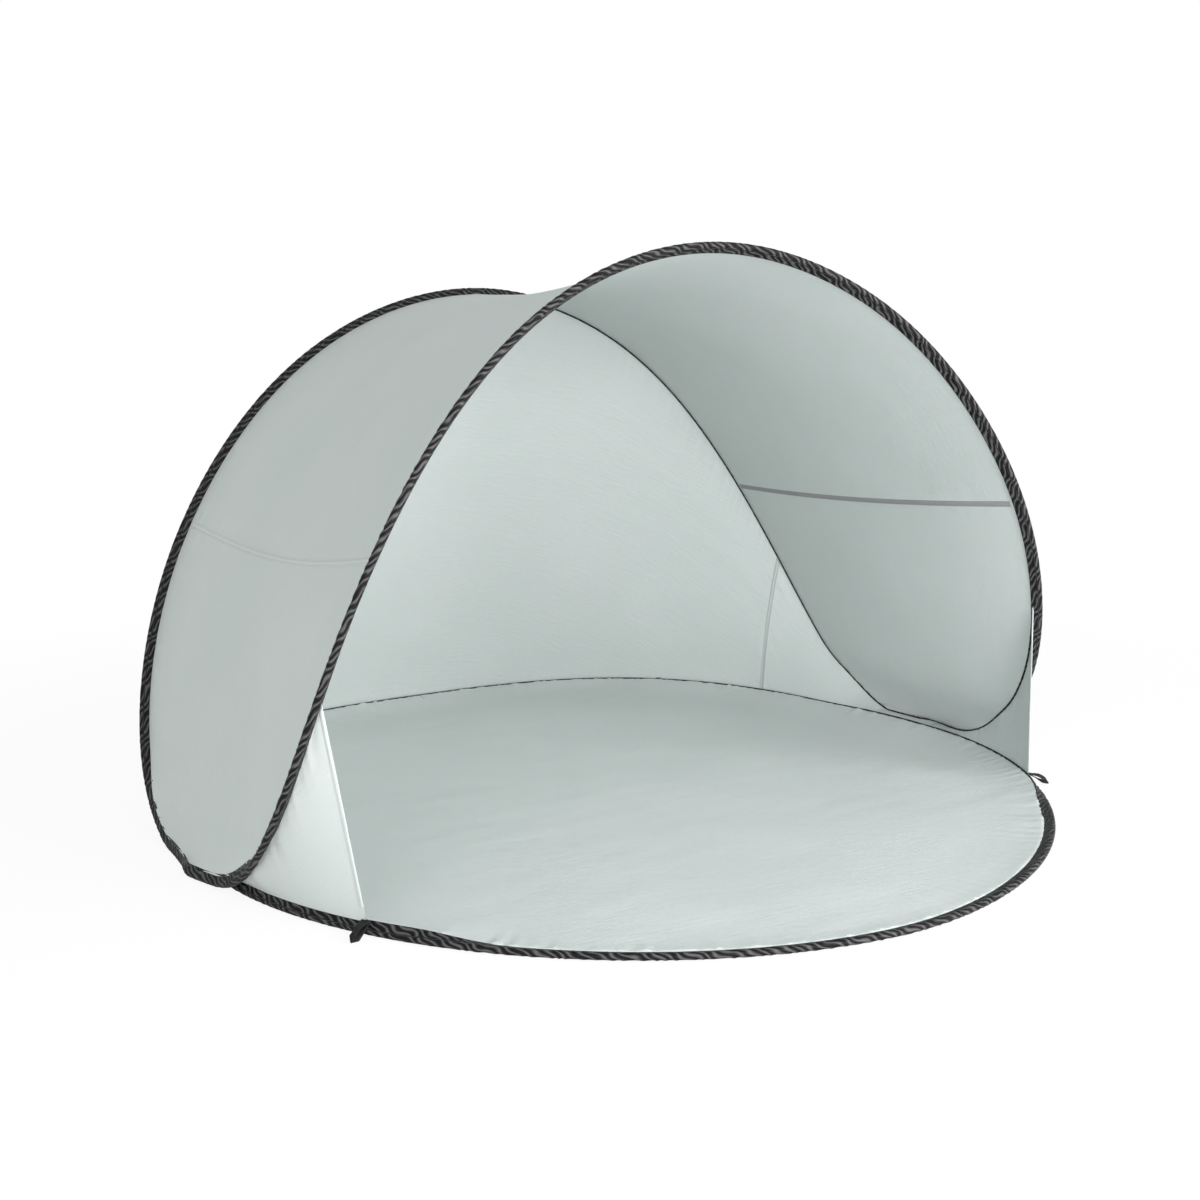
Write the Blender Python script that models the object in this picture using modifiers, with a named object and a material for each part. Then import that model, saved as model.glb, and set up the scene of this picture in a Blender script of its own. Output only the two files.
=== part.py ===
"""Two-hoop pop-up beach shelter.

A floor hoop lies on the ground, and a canopy hoop, bent into a saddle, stands on two U-turns beside it.
Both are spring wire in gathered sleeves. Between them are the floor, the canopy strip, the rear wall and two
gussets, all sewn from coated polyester. Metres, +Z up. The opening faces -Y, X runs left to right, and the
origin is the middle of the floor's underside. Angles along the canopy hoop run from 0 at the right pole, where
it stands on the ground, to 90 at the front apex and 180 at the left pole. The rear arch has negative angles.
"""

import math

import bpy
import numpy as np

# Floor outline, on the centre line of its wire
FLOOR_HALF_WIDTH = 0.706
FLOOR_HALF_DEPTH = 0.764
FLOOR_WIDEST_Y = -0.070
FLOOR_FRONT_ROUNDNESS = 1.85
FLOOR_REAR_ROUNDNESS = 2.73

# Canopy hoop, on the centre line of its wire
POLE_Y = -0.042
POLE_SPACING = 0.034
CANOPY_OVERHANG = 0.034
FRONT_APEX_Y = -0.321
FRONT_APEX_Z = 0.890
REAR_APEX_Y = 0.444
REAR_APEX_Z = 0.851

# Arches at 45, 60, 75 and 90 degrees: shares of the half width, of the way back or forth, and of the height
FRONT_ARCH_SHAPE = (
    (0.925, 1.000, 0.220),
    (0.784, 1.186, 0.545),
    (0.466, 1.093, 0.866),
    (0.000, 1.000, 1.000),
)
REAR_ARCH_SHAPE = (
    (0.962, 0.652, 0.155),
    (0.825, 0.901, 0.485),
    (0.495, 0.992, 0.844),
    (0.000, 1.000, 1.000),
)

# U-turns at 15 and 30 degrees: the way from the pole, the space outside the floor's wire, and the lift
FRONT_HEEL = ((0.049, 0.023, 0.001), (0.155, 0.023, 0.034))
REAR_HEEL = ((0.047, 0.028, 0.000), (0.159, 0.027, 0.006))

# Wire, ferrules and sleeves
WIRE_DIAMETER = 0.0035
FERRULE_DIAMETER = 0.0062
FERRULE_LENGTH = 0.024
SLEEVE_THICKNESS = 0.0100
SLEEVE_DEPTH = 0.0195
SLEEVE_WALL = 0.0012
SLEEVE_SLIT = 0.0010

# Cloth
CLOTH = 0.0010
TAPE = 0.0008
GAP = 0.0004
POLE_GAP = 0.0020
CANOPY_SAG = 0.028
WALL_SAG = 0.020
FLOOR_RIM = 0.032
HEM_LIFT_FADE = 0.160
WALL_LIFT_FADE = 0.300
WALL_LIFT = 0.5
WALL_PULL = 0.8

# Height of the wire between which the sleeve turns from pointing down to pointing away from the cloth
TURN_START = 0.020
TURN_END = 0.140
PULL_HEIGHT = 0.300

# Seams and hems, as angles along the canopy hoop and places on the floor
CANOPY_SEAM_ANGLE = 60.0
STRIP_LEAN = 2.7
STRIP_FOOT_ANGLE = 13.0
HEEL_ANGLE = 30.0
WALL_SEAM_ANGLE = 54.6
WALL_SEAM_FOOT_X = 0.650
HEM_TOP_ANGLE = 51.0
HEM_FADE = 16.0
HEM_FOOT_Y = -0.385
CANOPY_TAPE_WIDTH = 0.014
WALL_TAPE_WIDTH = 0.012
HEM_WIDTH = 0.012

# Peg loops
WEBBING_WIDTH = 0.015
WEBBING_THICKNESS = 0.0012
LOOP_LENGTH = 0.036
LOOP_EYE_HEIGHT = 0.0085
LOOP_TIP_WIDTH = 0.003
LOOP_TAPER = 0.007
REAR_LOOP_X = 0.520

# Steps along each piece
FLOOR_STEPS = 80
ARCH_STEPS = 48

WIRE_Z = SLEEVE_THICKNESS / 2
SLEEVE_REACH = SLEEVE_DEPTH - SLEEVE_THICKNESS / 2
FLANGE = SLEEVE_SLIT / 2 + SLEEVE_WALL
SEAM_CLEAR = CLOTH / 2 + GAP
STRIP_CLEAR = SEAM_CLEAR + CLOTH + 3 * GAP
STITCH_SPACE = FLANGE + CLOTH / 2 + GAP
CANOPY_HALF_WIDTH = FLOOR_HALF_WIDTH + CANOPY_OVERHANG
DOWN = np.array([0.0, 0.0, -1.0])
SMALL_TURN = 0.5
SMALL_SHARE = 0.0005

SLEEVE_BLACK = ("sleeve_black", (0.018, 0.018, 0.019), 0.55, 0.0)
WEBBING_BLACK = ("webbing_black", (0.014, 0.014, 0.014), 0.75, 0.0)
CLOTH_SILVER = ("cloth_silver", (0.50, 0.55, 0.54), 0.48, 0.15)
TAPE_GREY = ("tape_grey", (0.26, 0.25, 0.27), 0.60, 0.0)
HEM_SILVER = ("hem_silver", (0.42, 0.45, 0.45), 0.52, 0.10)
SPRING_STEEL = ("spring_steel", (0.30, 0.30, 0.31), 0.30, 1.0)
FERRULE_STEEL = ("ferrule_steel", (0.55, 0.56, 0.58), 0.35, 1.0)


def unit(vectors):
    """Each vector scaled to length 1."""
    vectors = np.asarray(vectors, float)
    return vectors / np.maximum(np.linalg.norm(vectors, axis=-1, keepdims=True), 1e-9)


def square_to(vectors, ahead):
    """The part of each vector that is square to a unit direction."""
    return vectors - np.sum(vectors * ahead, axis=-1, keepdims=True) * ahead


def smooth(shares):
    """Shares from 0 to 1 eased at both ends."""
    shares = np.clip(shares, 0, 1)
    return shares * shares * (3 - 2 * shares)


def at_shares(path, shares):
    """Points at the given shares of a path's length."""
    steps = np.linalg.norm(np.diff(path, axis=0), axis=1)
    length = np.concatenate([[0.0], np.cumsum(steps)])
    places = np.asarray(shares, float) * length[-1]
    return np.stack([np.interp(places, length, path[:, k]) for k in range(3)], axis=1)


def floor_outline(samples=721):
    """Right half of the floor hoop, from its front middle to its rear middle."""
    angles = np.linspace(-math.pi / 2, math.pi / 2, samples)
    front = angles < 0
    power = 2 / np.where(front, FLOOR_FRONT_ROUNDNESS, FLOOR_REAR_ROUNDNESS)
    reach = np.where(front, FLOOR_HALF_DEPTH + FLOOR_WIDEST_Y, FLOOR_HALF_DEPTH - FLOOR_WIDEST_Y)
    x = FLOOR_HALF_WIDTH * np.abs(np.cos(angles)) ** power
    y = FLOOR_WIDEST_Y + reach * np.sign(angles) * np.abs(np.sin(angles)) ** power
    x[0] = x[-1] = 0.0
    return np.stack([x, y, np.full(samples, WIRE_Z)], axis=1)


HALF_SHARES = np.linspace(0, 1, FLOOR_STEPS // 2 + 1)
FLOOR_HALF = at_shares(floor_outline(), HALF_SHARES)


def floor_share_at_y(y):
    """Share of the half outline's length at which it reaches this Y."""
    return float(np.interp(y, FLOOR_HALF[:, 1], HALF_SHARES))


def floor_x_at_y(y):
    """Half width of the floor hoop at this Y."""
    return float(np.interp(y, FLOOR_HALF[:, 1], FLOOR_HALF[:, 0]))


def rear_y_at_x(x):
    """Y at which the rear of the floor hoop has this half width."""
    rear = FLOOR_HALF[FLOOR_HALF[:, 1] > FLOOR_WIDEST_Y][::-1]
    return float(np.interp(x, rear[:, 0], rear[:, 1]))


def floor_points(shares):
    """Points of the floor hoop at signed shares: 0 is the front middle, 1 the rear middle, and - is left."""
    shares = np.asarray(shares, float)
    places = np.abs(shares)
    points = np.stack([np.interp(places, HALF_SHARES, FLOOR_HALF[:, k]) for k in range(3)], axis=1)
    points[:, 0] *= np.where(shares < 0, -1.0, 1.0)
    return points


def floor_ahead(shares):
    """Unit tangents of the floor hoop at signed shares."""
    shares = np.asarray(shares, float)
    return unit(floor_points(shares + SMALL_SHARE) - floor_points(shares - SMALL_SHARE))


def floor_outward(shares):
    """Level unit directions that point out of the floor hoop."""
    ahead = floor_ahead(shares)
    outward = np.stack([ahead[:, 1], -ahead[:, 0], 0 * ahead[:, 2]], axis=1)
    away = floor_points(shares) - [0.0, FLOOR_WIDEST_Y, WIRE_Z]
    return outward * np.sign(np.sum(outward * away, axis=1, keepdims=True))


def canopy_stations():
    """Points of the right half of the canopy hoop, every 15 degrees from the rear apex to the front apex."""
    def foot(way, space, lift):
        y = POLE_Y + way
        return (floor_x_at_y(y) + space, y, WIRE_Z + lift)

    def arch(shape, apex_y, apex_z):
        return [
            (CANOPY_HALF_WIDTH * kx, POLE_Y + (apex_y - POLE_Y) * ky, WIRE_Z + (apex_z - WIRE_Z) * kz)
            for kx, ky, kz in shape
        ]

    front = [foot(-way, space, lift) for way, space, lift in FRONT_HEEL]
    rear = [foot(way, space, lift) for way, space, lift in REAR_HEEL]
    front += arch(FRONT_ARCH_SHAPE, FRONT_APEX_Y, FRONT_APEX_Z)
    rear += arch(REAR_ARCH_SHAPE, REAR_APEX_Y, REAR_APEX_Z)
    return np.array(rear[::-1] + [foot(0.0, POLE_SPACING, 0.0)] + front)


def closed_spline(stations):
    """Periodic cubic spline through evenly spaced stations, as a function of the place in stations."""
    count = len(stations)
    system = 4 * np.eye(count) + np.roll(np.eye(count), 1, axis=1) + np.roll(np.eye(count), -1, axis=1)
    bends = 6 * (np.roll(stations, -1, axis=0) - 2 * stations + np.roll(stations, 1, axis=0))
    curvature = np.linalg.solve(system, bends)

    def point(place):
        first = np.floor(place).astype(int)
        b = (place - first)[:, None]
        a = 1 - b
        first = first % count
        second = (first + 1) % count
        straight = a * stations[first] + b * stations[second]
        return straight + ((a**3 - a) * curvature[first] + (b**3 - b) * curvature[second]) / 6

    return point


def canopy_rings():
    """Angles from -180 to 180, and the hoop's points there, none of them below the ground."""
    right = canopy_stations()
    left = right[-2:0:-1] * [-1.0, 1.0, 1.0]
    spline = closed_spline(np.concatenate([right, left]))
    angles = np.linspace(-180, 180, 2 * ARCH_STEPS + 1)
    points = spline((angles + 90) / 15)
    points[:, 2] = np.maximum(points[:, 2], WIRE_Z)
    return angles, points


RING_ANGLES, CANOPY_RINGS = canopy_rings()


def canopy(angles):
    """Points of the canopy hoop's wire at angles along it."""
    angles = (np.asarray(angles, float) + 180) % 360 - 180
    return np.stack([np.interp(angles, RING_ANGLES, CANOPY_RINGS[:, k]) for k in range(3)], axis=1)


def ring_angles(first, last, parts=1):
    """The two angles, and those of the hoop's rings between them, with each step in equal parts."""
    angles = np.linspace(-180, 180, 2 * ARCH_STEPS * parts + 1)
    inner = angles[(angles > first + SMALL_TURN) & (angles < last - SMALL_TURN)]
    return np.concatenate([[first], inner, [last]])


def canopy_ahead(angles):
    """Unit tangents of the canopy hoop at angles along it."""
    angles = np.asarray(angles, float)
    return unit(canopy(angles + SMALL_TURN) - canopy(angles - SMALL_TURN))


def turn(angle, length):
    """Degrees along the canopy hoop that cover a short length near an angle."""
    ends = canopy([angle - SMALL_TURN, angle + SMALL_TURN])
    return length * 2 * SMALL_TURN / float(np.linalg.norm(ends[1] - ends[0]))


def fold(angles):
    """Angles of the right half, 0 to 90, that mirror or match angles along either arch."""
    angles = np.abs(np.asarray(angles, float))
    return np.minimum(angles, 180 - angles)


def side(angles):
    """1 on the right half and -1 on the left half."""
    return np.where(np.abs(np.asarray(angles, float)) <= 90, 1.0, -1.0)


POLE_SHARE = floor_share_at_y(POLE_Y)
HEM_SHARE = floor_share_at_y(HEM_FOOT_Y)
WALL_SEAM_SHARE = floor_share_at_y(rear_y_at_x(WALL_SEAM_FOOT_X))


def wall_feet(angles):
    """Signed shares of the floor hoop below the rear arch."""
    corners = [0.0, HEEL_ANGLE, WALL_SEAM_ANGLE, 90.0]
    shares = [POLE_SHARE, floor_share_at_y(POLE_Y + REAR_HEEL[1][0]), WALL_SEAM_SHARE, 1.0]
    return np.interp(fold(angles), corners, shares) * side(angles)


def gusset_feet(angles):
    """Signed shares of the floor hoop below the foot of the front arch."""
    corners = [0.0, HEEL_ANGLE, HEM_TOP_ANGLE]
    shares = [POLE_SHARE, floor_share_at_y(POLE_Y - FRONT_HEEL[1][0]), HEM_SHARE]
    return np.interp(fold(angles), corners, shares) * side(angles)


def canopy_pocket(angles):
    """Unit directions in which the canopy's sleeve points: down on the ground, and else away from the cloth."""
    angles = np.asarray(angles, float)
    points = canopy(angles)
    ahead = canopy_ahead(angles)
    strip = unit(square_to(canopy(-angles) - points, ahead))
    wall = unit(square_to(floor_points(wall_feet(angles)) - points, ahead))
    inside = unit(square_to(points * [0.0, 1.0, 0.0] + [0.0, 0.0, PULL_HEIGHT] - points, ahead))
    gusset = unit(square_to(floor_points(gusset_feet(angles)) - points, ahead))
    free = smooth((fold(angles)[:, None] - HEM_TOP_ANGLE) / HEM_FADE + 0.5)
    front = unit(gusset * (1 - free) + inside * free)
    pull = np.where(angles[:, None] < 0, WALL_PULL * wall, front)
    lift = smooth((points[:, 2:] - TURN_START) / (TURN_END - TURN_START))
    return unit(square_to(DOWN, ahead) * (1 - lift) - unit(strip + pull) * lift)


def floor_pocket(shares):
    """Unit directions in which the floor's sleeve points: out at the free front, and down where cloth lifts it."""
    y = floor_points(shares)[:, 1:2]
    lifted = smooth((y - HEM_FOOT_Y) / HEM_LIFT_FADE + 1)
    lifted = lifted - (1 - WALL_LIFT) * smooth((y - POLE_Y) / WALL_LIFT_FADE)
    return unit(floor_outward(shares) * (1 - 0.8 * lifted) + DOWN * lifted)


def canopy_edge(angles, clear):
    """Line past the flanges of the canopy's sleeve, where cloth meets it."""
    return canopy(angles) - canopy_pocket(angles) * (SLEEVE_REACH + clear)


def floor_edge(shares, clear):
    """Line past the flanges of the floor's sleeve, where cloth meets it."""
    return floor_points(shares) - floor_pocket(shares) * (SLEEVE_REACH + clear)


def between(first, second, shares, sag):
    """Rows of points from one edge to another, drawn inwards in the middle by a share of their span."""
    shares = np.asarray(shares, float)[None, :, None]
    flat = first[:, None] * (1 - shares) + second[:, None] * shares
    inwards = unit(flat * [0.0, 1.0, 0.0] + [0.0, 0.0, PULL_HEIGHT] - flat)
    span = np.linalg.norm(second - first, axis=1)[:, None, None]
    return flat + inwards * 4 * shares * (1 - shares) * span * sag


def strip_rows(angles, shares):
    """Points of the canopy strip, with a row from the front arch to the rear arch at each angle."""
    lean = STRIP_LEAN * np.sin(np.radians(2 * fold(angles))) ** 2 * side(angles)
    rear = canopy_edge(-(angles + lean), STRIP_CLEAR)
    return between(canopy_edge(angles, STRIP_CLEAR), rear, shares, CANOPY_SAG)


def upright_rows(angles, feet, shares, sag):
    """Points of a cloth between the canopy hoop at these angles and the floor hoop at these shares."""
    tops = canopy_edge(angles, SEAM_CLEAR)
    bottoms = floor_edge(feet, SEAM_CLEAR)
    top_side = square_to(square_to(bottoms - tops, canopy_ahead(angles)), canopy_pocket(angles))
    bottom_side = square_to(floor_outward(feet), floor_pocket(feet))
    return between(tops + unit(top_side) * STITCH_SPACE, bottoms + unit(bottom_side) * STITCH_SPACE, shares, sag)


def wall_rows(angles, shares):
    """Points of the rear wall, with a row from the rear arch to the floor at each angle."""
    return upright_rows(-angles, wall_feet(angles), shares, WALL_SAG)


def gusset_rows(angles, shares):
    """Points of a gusset, with a row from the front arch to the floor at each angle."""
    return upright_rows(angles, gusset_feet(angles), shares, 0.0)


def material(name, colour, roughness, metallic):
    """The Principled material of this name."""
    made = bpy.data.materials.get(name)
    if made is None:
        made = bpy.data.materials.new(name)
        made.use_nodes = True
        shader = made.node_tree.nodes["Principled BSDF"]
        shader.inputs["Base Color"].default_value = (*colour, 1.0)
        shader.inputs["Roughness"].default_value = roughness
        shader.inputs["Metallic"].default_value = metallic
    return made


def add(name, data, finish, origin=(0.0, 0.0, 0.0)):
    """A named object in the shelter's collection."""
    data.materials.append(material(*finish))
    body = bpy.data.objects.new(name, data)
    body.location = origin
    COLLECTION.objects.link(body)
    return body


def mesh_from(name, points, faces, origin=(0.0, 0.0, 0.0)):
    """A smooth-shaded mesh from points in the shelter's frame, moved to its own origin."""
    mesh = bpy.data.meshes.new(name)
    placed = np.asarray(points, float) - np.asarray(origin, float)
    mesh.from_pydata(placed.tolist(), [], faces)
    mesh.shade_smooth()
    mesh.set_sharp_from_angle(angle=math.radians(40))
    return mesh


def wire(name, path, closed, origin=(0.0, 0.0, 0.0)):
    """A round spring wire along a path."""
    curve = bpy.data.curves.new(name, "CURVE")
    curve.dimensions = "3D"
    curve.bevel_depth = WIRE_DIAMETER / 2
    curve.bevel_resolution = 2
    curve.use_fill_caps = True
    spline = curve.splines.new("POLY")
    spline.points.add(len(path) - 1)
    for place, point in zip(spline.points, path - np.asarray(origin)):
        place.co = (*point.tolist(), 1.0)
    spline.use_cyclic_u = closed
    return add(name, curve, SPRING_STEEL, origin)


def swept(name, path, ahead, outward, sections, finish, closed, origin=(0.0, 0.0, 0.0)):
    """Sections swept along a path. Their first axis points outward, and their second across the path.

    Each side is cut into triangles from its outer corner, so that twisted walls stay beside each other.
    """
    outward = unit(square_to(outward, ahead))
    across = np.cross(ahead, outward)
    size = sections.shape[-2]
    sections = np.broadcast_to(sections, (len(path), size, 2))
    rings = path[:, None] + sections[..., :1] * outward[:, None] + sections[..., 1:] * across[:, None]
    faces = []
    for ring in range(len(path) if closed else len(path) - 1):
        here, there = ring * size, (ring + 1) % len(path) * size
        for corner in range(size):
            following = (corner + 1) % size
            a, b, c, d = here + corner, here + following, there + following, there + corner
            inwards = sections[ring, corner, 0] > sections[ring, following, 0]
            faces += [(a, b, c), (a, c, d)] if inwards else [(a, b, d), (b, c, d)]
    if not closed:
        faces.append(tuple(range(size))[::-1])
        faces.append(tuple(range((len(path) - 1) * size, len(path) * size)))
    return add(name, mesh_from(name, rings.reshape(-1, 3), faces, origin), finish, origin)


def arc(radius, first, last, count):
    """Points of an arc round the wire, between angles in degrees from the pocket's direction."""
    angles = np.radians(np.linspace(first, last, count))
    return [(radius * math.cos(a), radius * math.sin(a)) for a in angles]


def sleeve_section():
    """A strip of fabric folded round the wire: a round nose, and two flanges that nearly meet."""
    slit = SLEEVE_SLIT / 2
    nose = arc(SLEEVE_THICKNESS / 2, -100, 100, 5)
    bore = arc(SLEEVE_THICKNESS / 2 - SLEEVE_WALL, 100, -100, 5)
    high = [(-SLEEVE_REACH, FLANGE), (-SLEEVE_REACH, slit)]
    low = [(-SLEEVE_REACH, -slit), (-SLEEVE_REACH, -FLANGE)]
    return np.array(nose + high + bore + low)


def ferrule_section():
    """A rolled steel tube with its seam towards the cloth."""
    outside = arc(FERRULE_DIAMETER / 2, -165, 165, 9)
    bore = arc(WIRE_DIAMETER / 2 + GAP, 165, -165, 9)
    return np.array(outside + bore)


def cloth(name, grid, finish, thickness=CLOTH):
    """A sheet over a grid of points, thickened to both sides."""
    rows, columns = grid.shape[:2]
    faces = [
        (r * columns + c, r * columns + c + 1, (r + 1) * columns + c + 1, (r + 1) * columns + c)
        for r in range(rows - 1)
        for c in range(columns - 1)
    ]
    body = add(name, mesh_from(name, grid.reshape(-1, 3), faces), finish)
    thicken(body, thickness)
    return body


def thicken(body, thickness):
    """Gives a sheet its thickness, half to each side."""
    solid = body.modifiers.new("Thickness", "SOLIDIFY")
    solid.thickness = thickness
    solid.offset = 0.0
    solid.use_even_offset = True


def tape(name, rows, first_angle, last_angle, steps, finish):
    """A narrow strip sewn to the inside of a cloth between two angles along the hoop."""
    shares = np.linspace(0, 1, steps + 1) * 0.97 + 0.015
    angles = np.linspace(first_angle, last_angle, 3)
    grid = rows(angles, shares)
    normals = unit(np.cross(np.gradient(grid, axis=0), np.gradient(grid, axis=1)))
    inwards = grid * [0.0, 1.0, 0.0] + [0.0, 0.0, PULL_HEIGHT] - grid
    normals *= np.sign(np.sum(normals * inwards, axis=-1, keepdims=True))
    return cloth(name, grid + normals * (CLOTH / 2 + 2 * GAP + TAPE / 2), finish, TAPE)


def make_floor():
    """The floor hoop with its ferrule, its sleeve, and the floor panel."""
    shares = np.linspace(-1, 1, FLOOR_STEPS + 1)[:-1]
    wire("floor_hoop", floor_points(shares), closed=True)
    half = FERRULE_LENGTH / 2 / float(np.linalg.norm(FLOOR_HALF[-1] - FLOOR_HALF[-2])) * HALF_SHARES[1]
    seat = np.array([-1 + half, -1 + half / 3, 1 - half / 3, 1 - half])
    swept("floor_hoop_ferrule", floor_points(seat), np.array([[1.0, 0.0, 0.0]] * 4),
          floor_pocket(seat), ferrule_section(), FERRULE_STEEL, closed=False)
    swept("floor_sleeve", floor_points(shares), floor_ahead(shares), floor_pocket(shares),
          sleeve_section(), SLEEVE_BLACK, closed=True)
    rim = floor_edge(shares, SEAM_CLEAR) - floor_outward(shares) * CLOTH
    flat = floor_points(shares) - floor_outward(shares) * FLOOR_RIM
    flat[:, 2] = CLOTH / 2
    faces = [
        (k, (k + 1) % FLOOR_STEPS, (k + 1) % FLOOR_STEPS + FLOOR_STEPS, k + FLOOR_STEPS)
        for k in range(FLOOR_STEPS)
    ]
    faces.append(tuple(range(FLOOR_STEPS, 2 * FLOOR_STEPS)))
    panel = mesh_from("floor_panel", np.concatenate([rim, flat]), faces)
    thicken(add("floor_panel", panel, CLOTH_SILVER), CLOTH)


def make_canopy_hoop():
    """The canopy hoop's wires, ferrules and sleeves. The front arch has its origin on its hinge."""
    hinge = (0.0, POLE_Y, WIRE_Z + SLEEVE_REACH + GAP)
    start = turn(0, GAP / 2)
    front = ring_angles(start, 180 - start)
    rear = -front
    for name, angles, origin in (("front", front, hinge), ("rear", rear, (0.0, 0.0, 0.0))):
        wire(f"canopy_hoop_{name}", canopy(angles), closed=False, origin=origin)
        ahead = canopy_ahead(angles) * np.sign(angles[1] - angles[0])
        swept(f"canopy_sleeve_{name}", canopy(angles), ahead, canopy_pocket(angles),
              sleeve_section(), SLEEVE_BLACK, closed=False, origin=origin)
    for name, first, step in (("right", 0.0, -1.0), ("left", 180.0, 1.0)):
        seat = first + step * np.linspace(start, turn(0, FERRULE_LENGTH), 4)
        swept(f"canopy_ferrule_{name}", canopy(seat), step * canopy_ahead(seat),
              canopy_pocket(seat), ferrule_section(), FERRULE_STEEL, closed=False)


def sides(first, last):
    """Name and angles of a piece on the right half, and of its mirror image."""
    return (("right", first, last), ("left", 180 - last, 180 - first))


def make_canopy():
    """The canopy strip in three panels, with tapes over its two cross seams."""
    seam_gap = turn(CANOPY_SEAM_ANGLE, GAP / 2)
    shares = np.linspace(0, 1, 9)
    roof = ring_angles(CANOPY_SEAM_ANGLE + seam_gap, 180 - CANOPY_SEAM_ANGLE - seam_gap)
    cloth("canopy_panel_roof", strip_rows(roof, shares), CLOTH_SILVER)
    for name, first, last in sides(STRIP_FOOT_ANGLE, CANOPY_SEAM_ANGLE - seam_gap):
        cloth(f"canopy_panel_{name}", strip_rows(ring_angles(first, last), shares), CLOTH_SILVER)
    half = turn(CANOPY_SEAM_ANGLE, CANOPY_TAPE_WIDTH / 2)
    for name, first, last in sides(CANOPY_SEAM_ANGLE - half, CANOPY_SEAM_ANGLE + half):
        tape(f"canopy_seam_{name}", strip_rows, first, last, 12, TAPE_GREY)


def make_wall():
    """The rear wall in three panels, with its stitched seams."""
    seam_gap = turn(-WALL_SEAM_ANGLE, GAP / 2)
    start = turn(0, POLE_GAP)
    shares = np.linspace(0, 1, 7)
    centre = ring_angles(WALL_SEAM_ANGLE + seam_gap, 180 - WALL_SEAM_ANGLE - seam_gap, parts=2)
    cloth("wall_panel_centre", wall_rows(centre, shares), CLOTH_SILVER)
    for name, first, last in sides(start, WALL_SEAM_ANGLE - seam_gap):
        cloth(f"wall_panel_{name}", wall_rows(ring_angles(first, last), shares), CLOTH_SILVER)
    half = turn(-WALL_SEAM_ANGLE, WALL_TAPE_WIDTH / 2)
    for name, first, last in sides(WALL_SEAM_ANGLE - half, WALL_SEAM_ANGLE + half):
        tape(f"wall_seam_{name}", wall_rows, first, last, 8, HEM_SILVER)


def make_gussets():
    """The gussets in front of the poles, with hems on their free edges."""
    start = turn(0, POLE_GAP)
    shares = np.linspace(0, 1, 7)
    for name, first, last in sides(start, HEM_TOP_ANGLE):
        cloth(f"gusset_{name}", gusset_rows(ring_angles(first, last), shares), CLOTH_SILVER)
    width = turn(HEM_TOP_ANGLE, HEM_WIDTH)
    for name, first, last in sides(HEM_TOP_ANGLE - width, HEM_TOP_ANGLE):
        tape(f"gusset_hem_{name}", gusset_rows, first, last, 8, HEM_SILVER)


def peg_loop(name, share):
    """A webbing loop sewn to the top of the floor's sleeve. It lies over the sleeve with its tip on the ground."""
    spot = np.array([share])
    along = floor_ahead(spot)[0]
    outward = floor_outward(spot)[0]
    pocket = floor_pocket(spot)[0]
    radius = (WEBBING_THICKNESS + GAP) / 2
    half_pack = radius + WEBBING_THICKNESS / 2
    beside = unit(np.cross(pocket, along))
    beside = beside * np.sign(np.dot(beside, outward))
    root = floor_points(spot)[0] - pocket * (SLEEVE_REACH - half_pack) + beside * (FLANGE + GAP + half_pack)
    slope = math.asin((root[2] - half_pack - GAP) / LOOP_LENGTH)
    down_out = outward * math.cos(slope) + DOWN * math.sin(slope)
    up_out = outward * math.sin(slope) - DOWN * math.cos(slope)

    returns = np.linspace(1, 0, 10)
    ends = np.radians([-45.0, 0.0, 45.0])
    out = [(0.0, -radius), (LOOP_LENGTH - LOOP_TAPER, -radius), (LOOP_LENGTH, -radius)]
    tip = [(LOOP_LENGTH + radius * math.cos(a), radius * math.sin(a)) for a in ends]
    back = [(LOOP_LENGTH * s, radius + LOOP_EYE_HEIGHT * math.sin(math.pi * s) ** 1.5) for s in returns]
    heel = [(-radius * math.cos(a), -radius * math.sin(a)) for a in ends]
    flat = np.array(out + tip + back + heel)
    path = root + flat[:, :1] * down_out + flat[:, 1:] * up_out
    ahead = unit(np.roll(path, -1, axis=0) - np.roll(path, 1, axis=0))
    outside = np.cross(np.cross(down_out, up_out)[None], ahead) * -1.0
    widths = np.interp(flat[:, 0], [LOOP_LENGTH - LOOP_TAPER, LOOP_LENGTH + radius],
                       [WEBBING_WIDTH, LOOP_TIP_WIDTH]) / 2
    depth = WEBBING_THICKNESS / 2
    corners = np.array([(-1, -1), (1, -1), (1, 1), (-1, 1)])
    sections = corners[None] * np.stack([np.full(len(path), depth), widths], axis=1)[:, None]
    swept(name, path, ahead, outside, sections, WEBBING_BLACK, closed=True, origin=root.tolist())
    print(f"{name}: hinge at {np.round(root, 5).tolist()}, axis {np.round(-along, 5).tolist()}")


def make_peg_loops():
    """Two peg loops at the hems, and two at the rear corners."""
    rear_share = floor_share_at_y(rear_y_at_x(REAR_LOOP_X))
    for name, share in (("front", HEM_SHARE), ("rear", rear_share)):
        peg_loop(f"peg_loop_{name}_right", share)
        peg_loop(f"peg_loop_{name}_left", -share)


def clear_objects():
    """Removes every object of the startup scene."""
    for old in list(bpy.data.objects):
        bpy.data.objects.remove(old, do_unlink=True)


clear_objects()
COLLECTION = bpy.data.collections.new("pop_up_shelter")
bpy.context.scene.collection.children.link(COLLECTION)
make_floor()
make_canopy_hoop()
make_canopy()
make_wall()
make_gussets()
make_peg_loops()
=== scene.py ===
"""Looks of the two-hoop beach shelter: its cloth, gathered sleeves, seams, hems and webbing loops."""

import math

import bpy
import numpy as np
from mathutils import Matrix, Vector


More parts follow.
